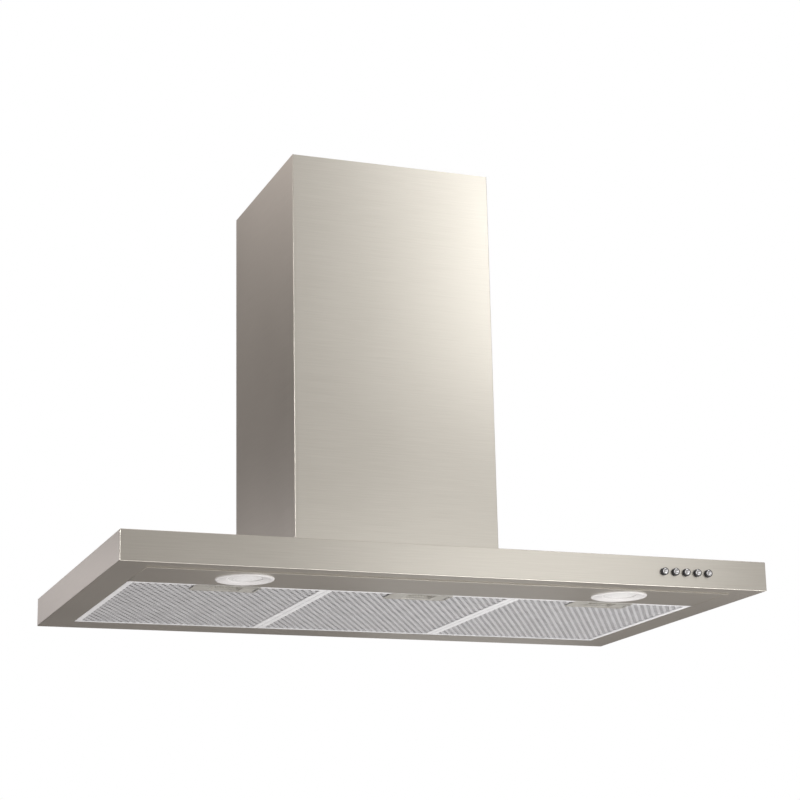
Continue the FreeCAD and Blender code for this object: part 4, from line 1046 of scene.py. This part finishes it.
def latchSlide(side, sizes):
    low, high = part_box("latch_slide_" + side)
    x = (low.x + high.x) / 2
    gripFront = high.y - sizes["thickness"]
    grip = block((x, (gripFront + high.y) / 2, (low.z + high.z) / 2),
                 (sizes["grip"], sizes["thickness"], high.z - low.z))
    openMesh(grip)
    start = x - sizes["grip"] / 2
    step = sizes["grip"] / (2 * sizes["ribs"] + 1)
    for cut in range(1, 2 * sizes["ribs"] + 1):
        cutAt((start + cut * step, 0, 0), (1, 0, 0))

    def onRib(spot, normal):
        return normal.y < -0.9 and int((spot.x - start) / step) % 2 == 1

    pick(grip, "FACE", onRib)
    bpy.ops.mesh.extrude_region_move(TRANSFORM_OT_translate={"value": (0, -sizes["ribDepth"], 0)})
    closeMesh()
    softenEdges(grip, sizes["gripEdge"])
    width, thickness = sizes["tongue"]
    tongue = block((x, (low.y + gripFront) / 2, high.z - thickness / 2),
                   (width, gripFront - low.y + 2 * sizes["tongueLap"], thickness))
    openMesh(tongue)
    pick(tongue, "FACE", lambda spot, normal: normal.y < -0.9)
    narrower, lift = sizes["tip"]
    bpy.ops.mesh.inset(thickness=narrower)
    bpy.ops.transform.translate(value=(0, 0, lift))
    closeMesh()
    softenEdges(tongue, sizes["tongueEdge"])
    slide = bringTogether("latch_grip_" + side, [grip, tongue])
    finish(slide, "latch_metal", "latch_" + side, ("latch_slide_" + side,))


def latchSpring(side):
    node = "latch_spring_" + side
    leaf = copyOf(node, "latch_leaf_" + side)
    bpy.ops.object.mode_set(mode="OBJECT")
    bpy.ops.mesh.customdata_custom_splitnormals_clear()
    finish(leaf, "spring_steel", "filter_" + side, (node,), smooth=30)
    low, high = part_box(node)
    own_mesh(leaf)


for side in sides:
    latchPlate(side, latchSizes)
    latchSlide(side, slideSizes)
    latchSpring(side)
print("hood: latches set")


# Studio: a white surround, soft light from the front and right, and a pale floor

studio = {
    "floorLevel": -1.55,
    "floorSize": 9.0,
    "floorColour": (0.60, 0.60, 0.595, 1),
    "floorShown": (0.92, 0.92, 0.915, 1),      # how the camera sees it
    "base": 0.14,             # light from all round
    "front": 0.36,
    "rearSky": 1.50,          # a band above the wall side
    "overhead": 0.65,
    "beside": 0.22,           # at the left and the right
    "frontFade": (-0.3, 1.0),
    "frontLean": 0.35,        # how much more of it comes from the right
    "bandFoot": (0.28, 0.50),
    "bandTop": (0.55, 0.80),
    "bandSide": (0.0, 0.6),
    "besideFade": (0.55, 0.85),
    "overheadFade": (0.80, 0.95),
    "shade": (1.0, 0.915, 0.885, 1),
    "glow": (1.0, 0.962, 0.942, 1),
}


def lightSurround(setup):
    # each fade is from one value of the direction's x, y or z to another
    world = bpy.data.worlds.new("studioSurround")
    world.use_nodes = True
    bpy.context.scene.world = world
    board = Board(world.node_tree)
    board.tree.nodes.clear()
    x, y, z = board.split(board.node("ShaderNodeTexCoord", None, None, "Generated"))
    front = board.spread(x * setup["frontLean"] - y, *setup["frontFade"], 0.0, 1.0)
    foot = board.spread(z, *setup["bandFoot"], 0.0, 1.0)
    band = foot * board.spread(z, *setup["bandTop"], 1.0, 0.0)
    rearSky = band * board.spread(y, *setup["bandSide"], 0.0, 1.0)
    beside = board.spread(abs(x), *setup["besideFade"], 0.0, 1.0)
    overhead = board.spread(z, *setup["overheadFade"], 0.0, 1.0)
    amount = front * setup["front"] + rearSky * setup["rearSky"] + beside * setup["beside"]
    amount = amount + overhead * setup["overhead"] + setup["base"]
    tint = board.mixColour(front, setup["shade"], setup["glow"])
    soft = board.node("ShaderNodeBackground", None, {"Color": tint, "Strength": amount})
    plain = board.node("ShaderNodeBackground", None, {"Color": (1, 1, 1, 1), "Strength": 1.0})
    seen = board.node("ShaderNodeLightPath", None, None, "Is Camera Ray")
    mixed = board.node("ShaderNodeMixShader", None, {0: seen, 1: soft, 2: plain})
    output = board.tree.nodes.new("ShaderNodeOutputWorld")
    board.tree.links.new(mixed.socket, output.inputs["Surface"])


faintPink = (1.0, 0.95, 0.985)

# each lamp's place, the point that it looks at, its width and height, its power and its colour
lampSetups = {
    "rightLamp": ((0.90, -1.65, 1.0), (0.1, -0.29, 0.35), (0.3, 0.45), 2.0, (1, 1, 1)),
    "highLamp": ((0.68, -1.65, 1.45), (0.1, -0.29, 0.5), (0.3, 0.4), 1.05, (1, 1, 1)),
    "lowLamp": ((0.58, -1.65, 0.21), (0.1, -0.5, 0.02), (0.65, 0.3), 0.75, (1, 1, 1)),
    "edgeLamp": ((-2.87, -1.56, 0.85), (-0.3, -0.4, 0.2), (0.4, 0.9), 30.0, (1, 1, 1)),
    "rearLeftLamp": ((-0.95, 1.75, 0.30), (-0.45, -0.26, 0.02), (0.5, 0.35), 0.27, faintPink),
    "cornerLamp": ((-1.30, 1.75, 0.45), (-0.45, -0.26, 0.02), (0.4, 0.4), 0.65, faintPink),
    "rearLowLamp": ((1.14, 2.2, -0.5), (0.05, -0.45, 0.0), (0.55, 0.3), 0.245, (1, 1, 1)),
    "floorLamp": ((0.45, -0.55, -1.45), (0.45, -0.55, 0.0), (2.0, 1.1), 9.8, (1, 1, 1)),
    "floorRightLamp": ((0.7, -0.6, -1.2), (0.15, -0.4, 0.0), (0.8, 0.8), 6.8, (1, 1, 1)),
}


def addLamp(name, place, aim, size, power, colour):
    bpy.ops.object.light_add(type="AREA", location=place)
    lamp = bpy.context.object
    lamp.name = name
    towards = Vector(aim) - Vector(place)
    lamp.rotation_euler = towards.to_track_quat("-Z", "Y").to_euler()
    lamp.data.shape = "RECTANGLE"
    lamp.data.size, lamp.data.size_y = size
    lamp.data.energy = power
    lamp.data.color = colour
    lamp.visible_camera = False


def layFloor(setup):
    bpy.ops.mesh.primitive_plane_add(size=setup["floorSize"], location=(0, 0, setup["floorLevel"]))
    floor = bpy.context.object
    floor.name = "studioFloor"
    pale = Finish("paleFloor", Roughness=0.8)
    seen = pale.node("ShaderNodeLightPath", None, None, "Is Camera Ray")
    pale.drive("Base Color", pale.mixColour(seen, setup["floorColour"], setup["floorShown"]))
    # a view from below looks through it
    beneath = pale.node("ShaderNodeNewGeometry", None, None, "Backfacing")
    solid = Wire(pale, pale.shader.outputs[0])
    clear = pale.node("ShaderNodeBsdfTransparent")
    mixed = pale.node("ShaderNodeMixShader", None, {0: beneath, 1: solid, 2: clear})
    output = next(n for n in pale.tree.nodes if n.type == "OUTPUT_MATERIAL")
    pale.feed(output.inputs["Surface"], mixed)
    floor.data.materials.append(pale.material)


lightSurround(studio)
for name, setup in lampSetups.items():
    addLamp(name, *setup)
layFloor(studio)
bpy.context.scene.view_settings.view_transform = "Standard"
print("hood: studio set")
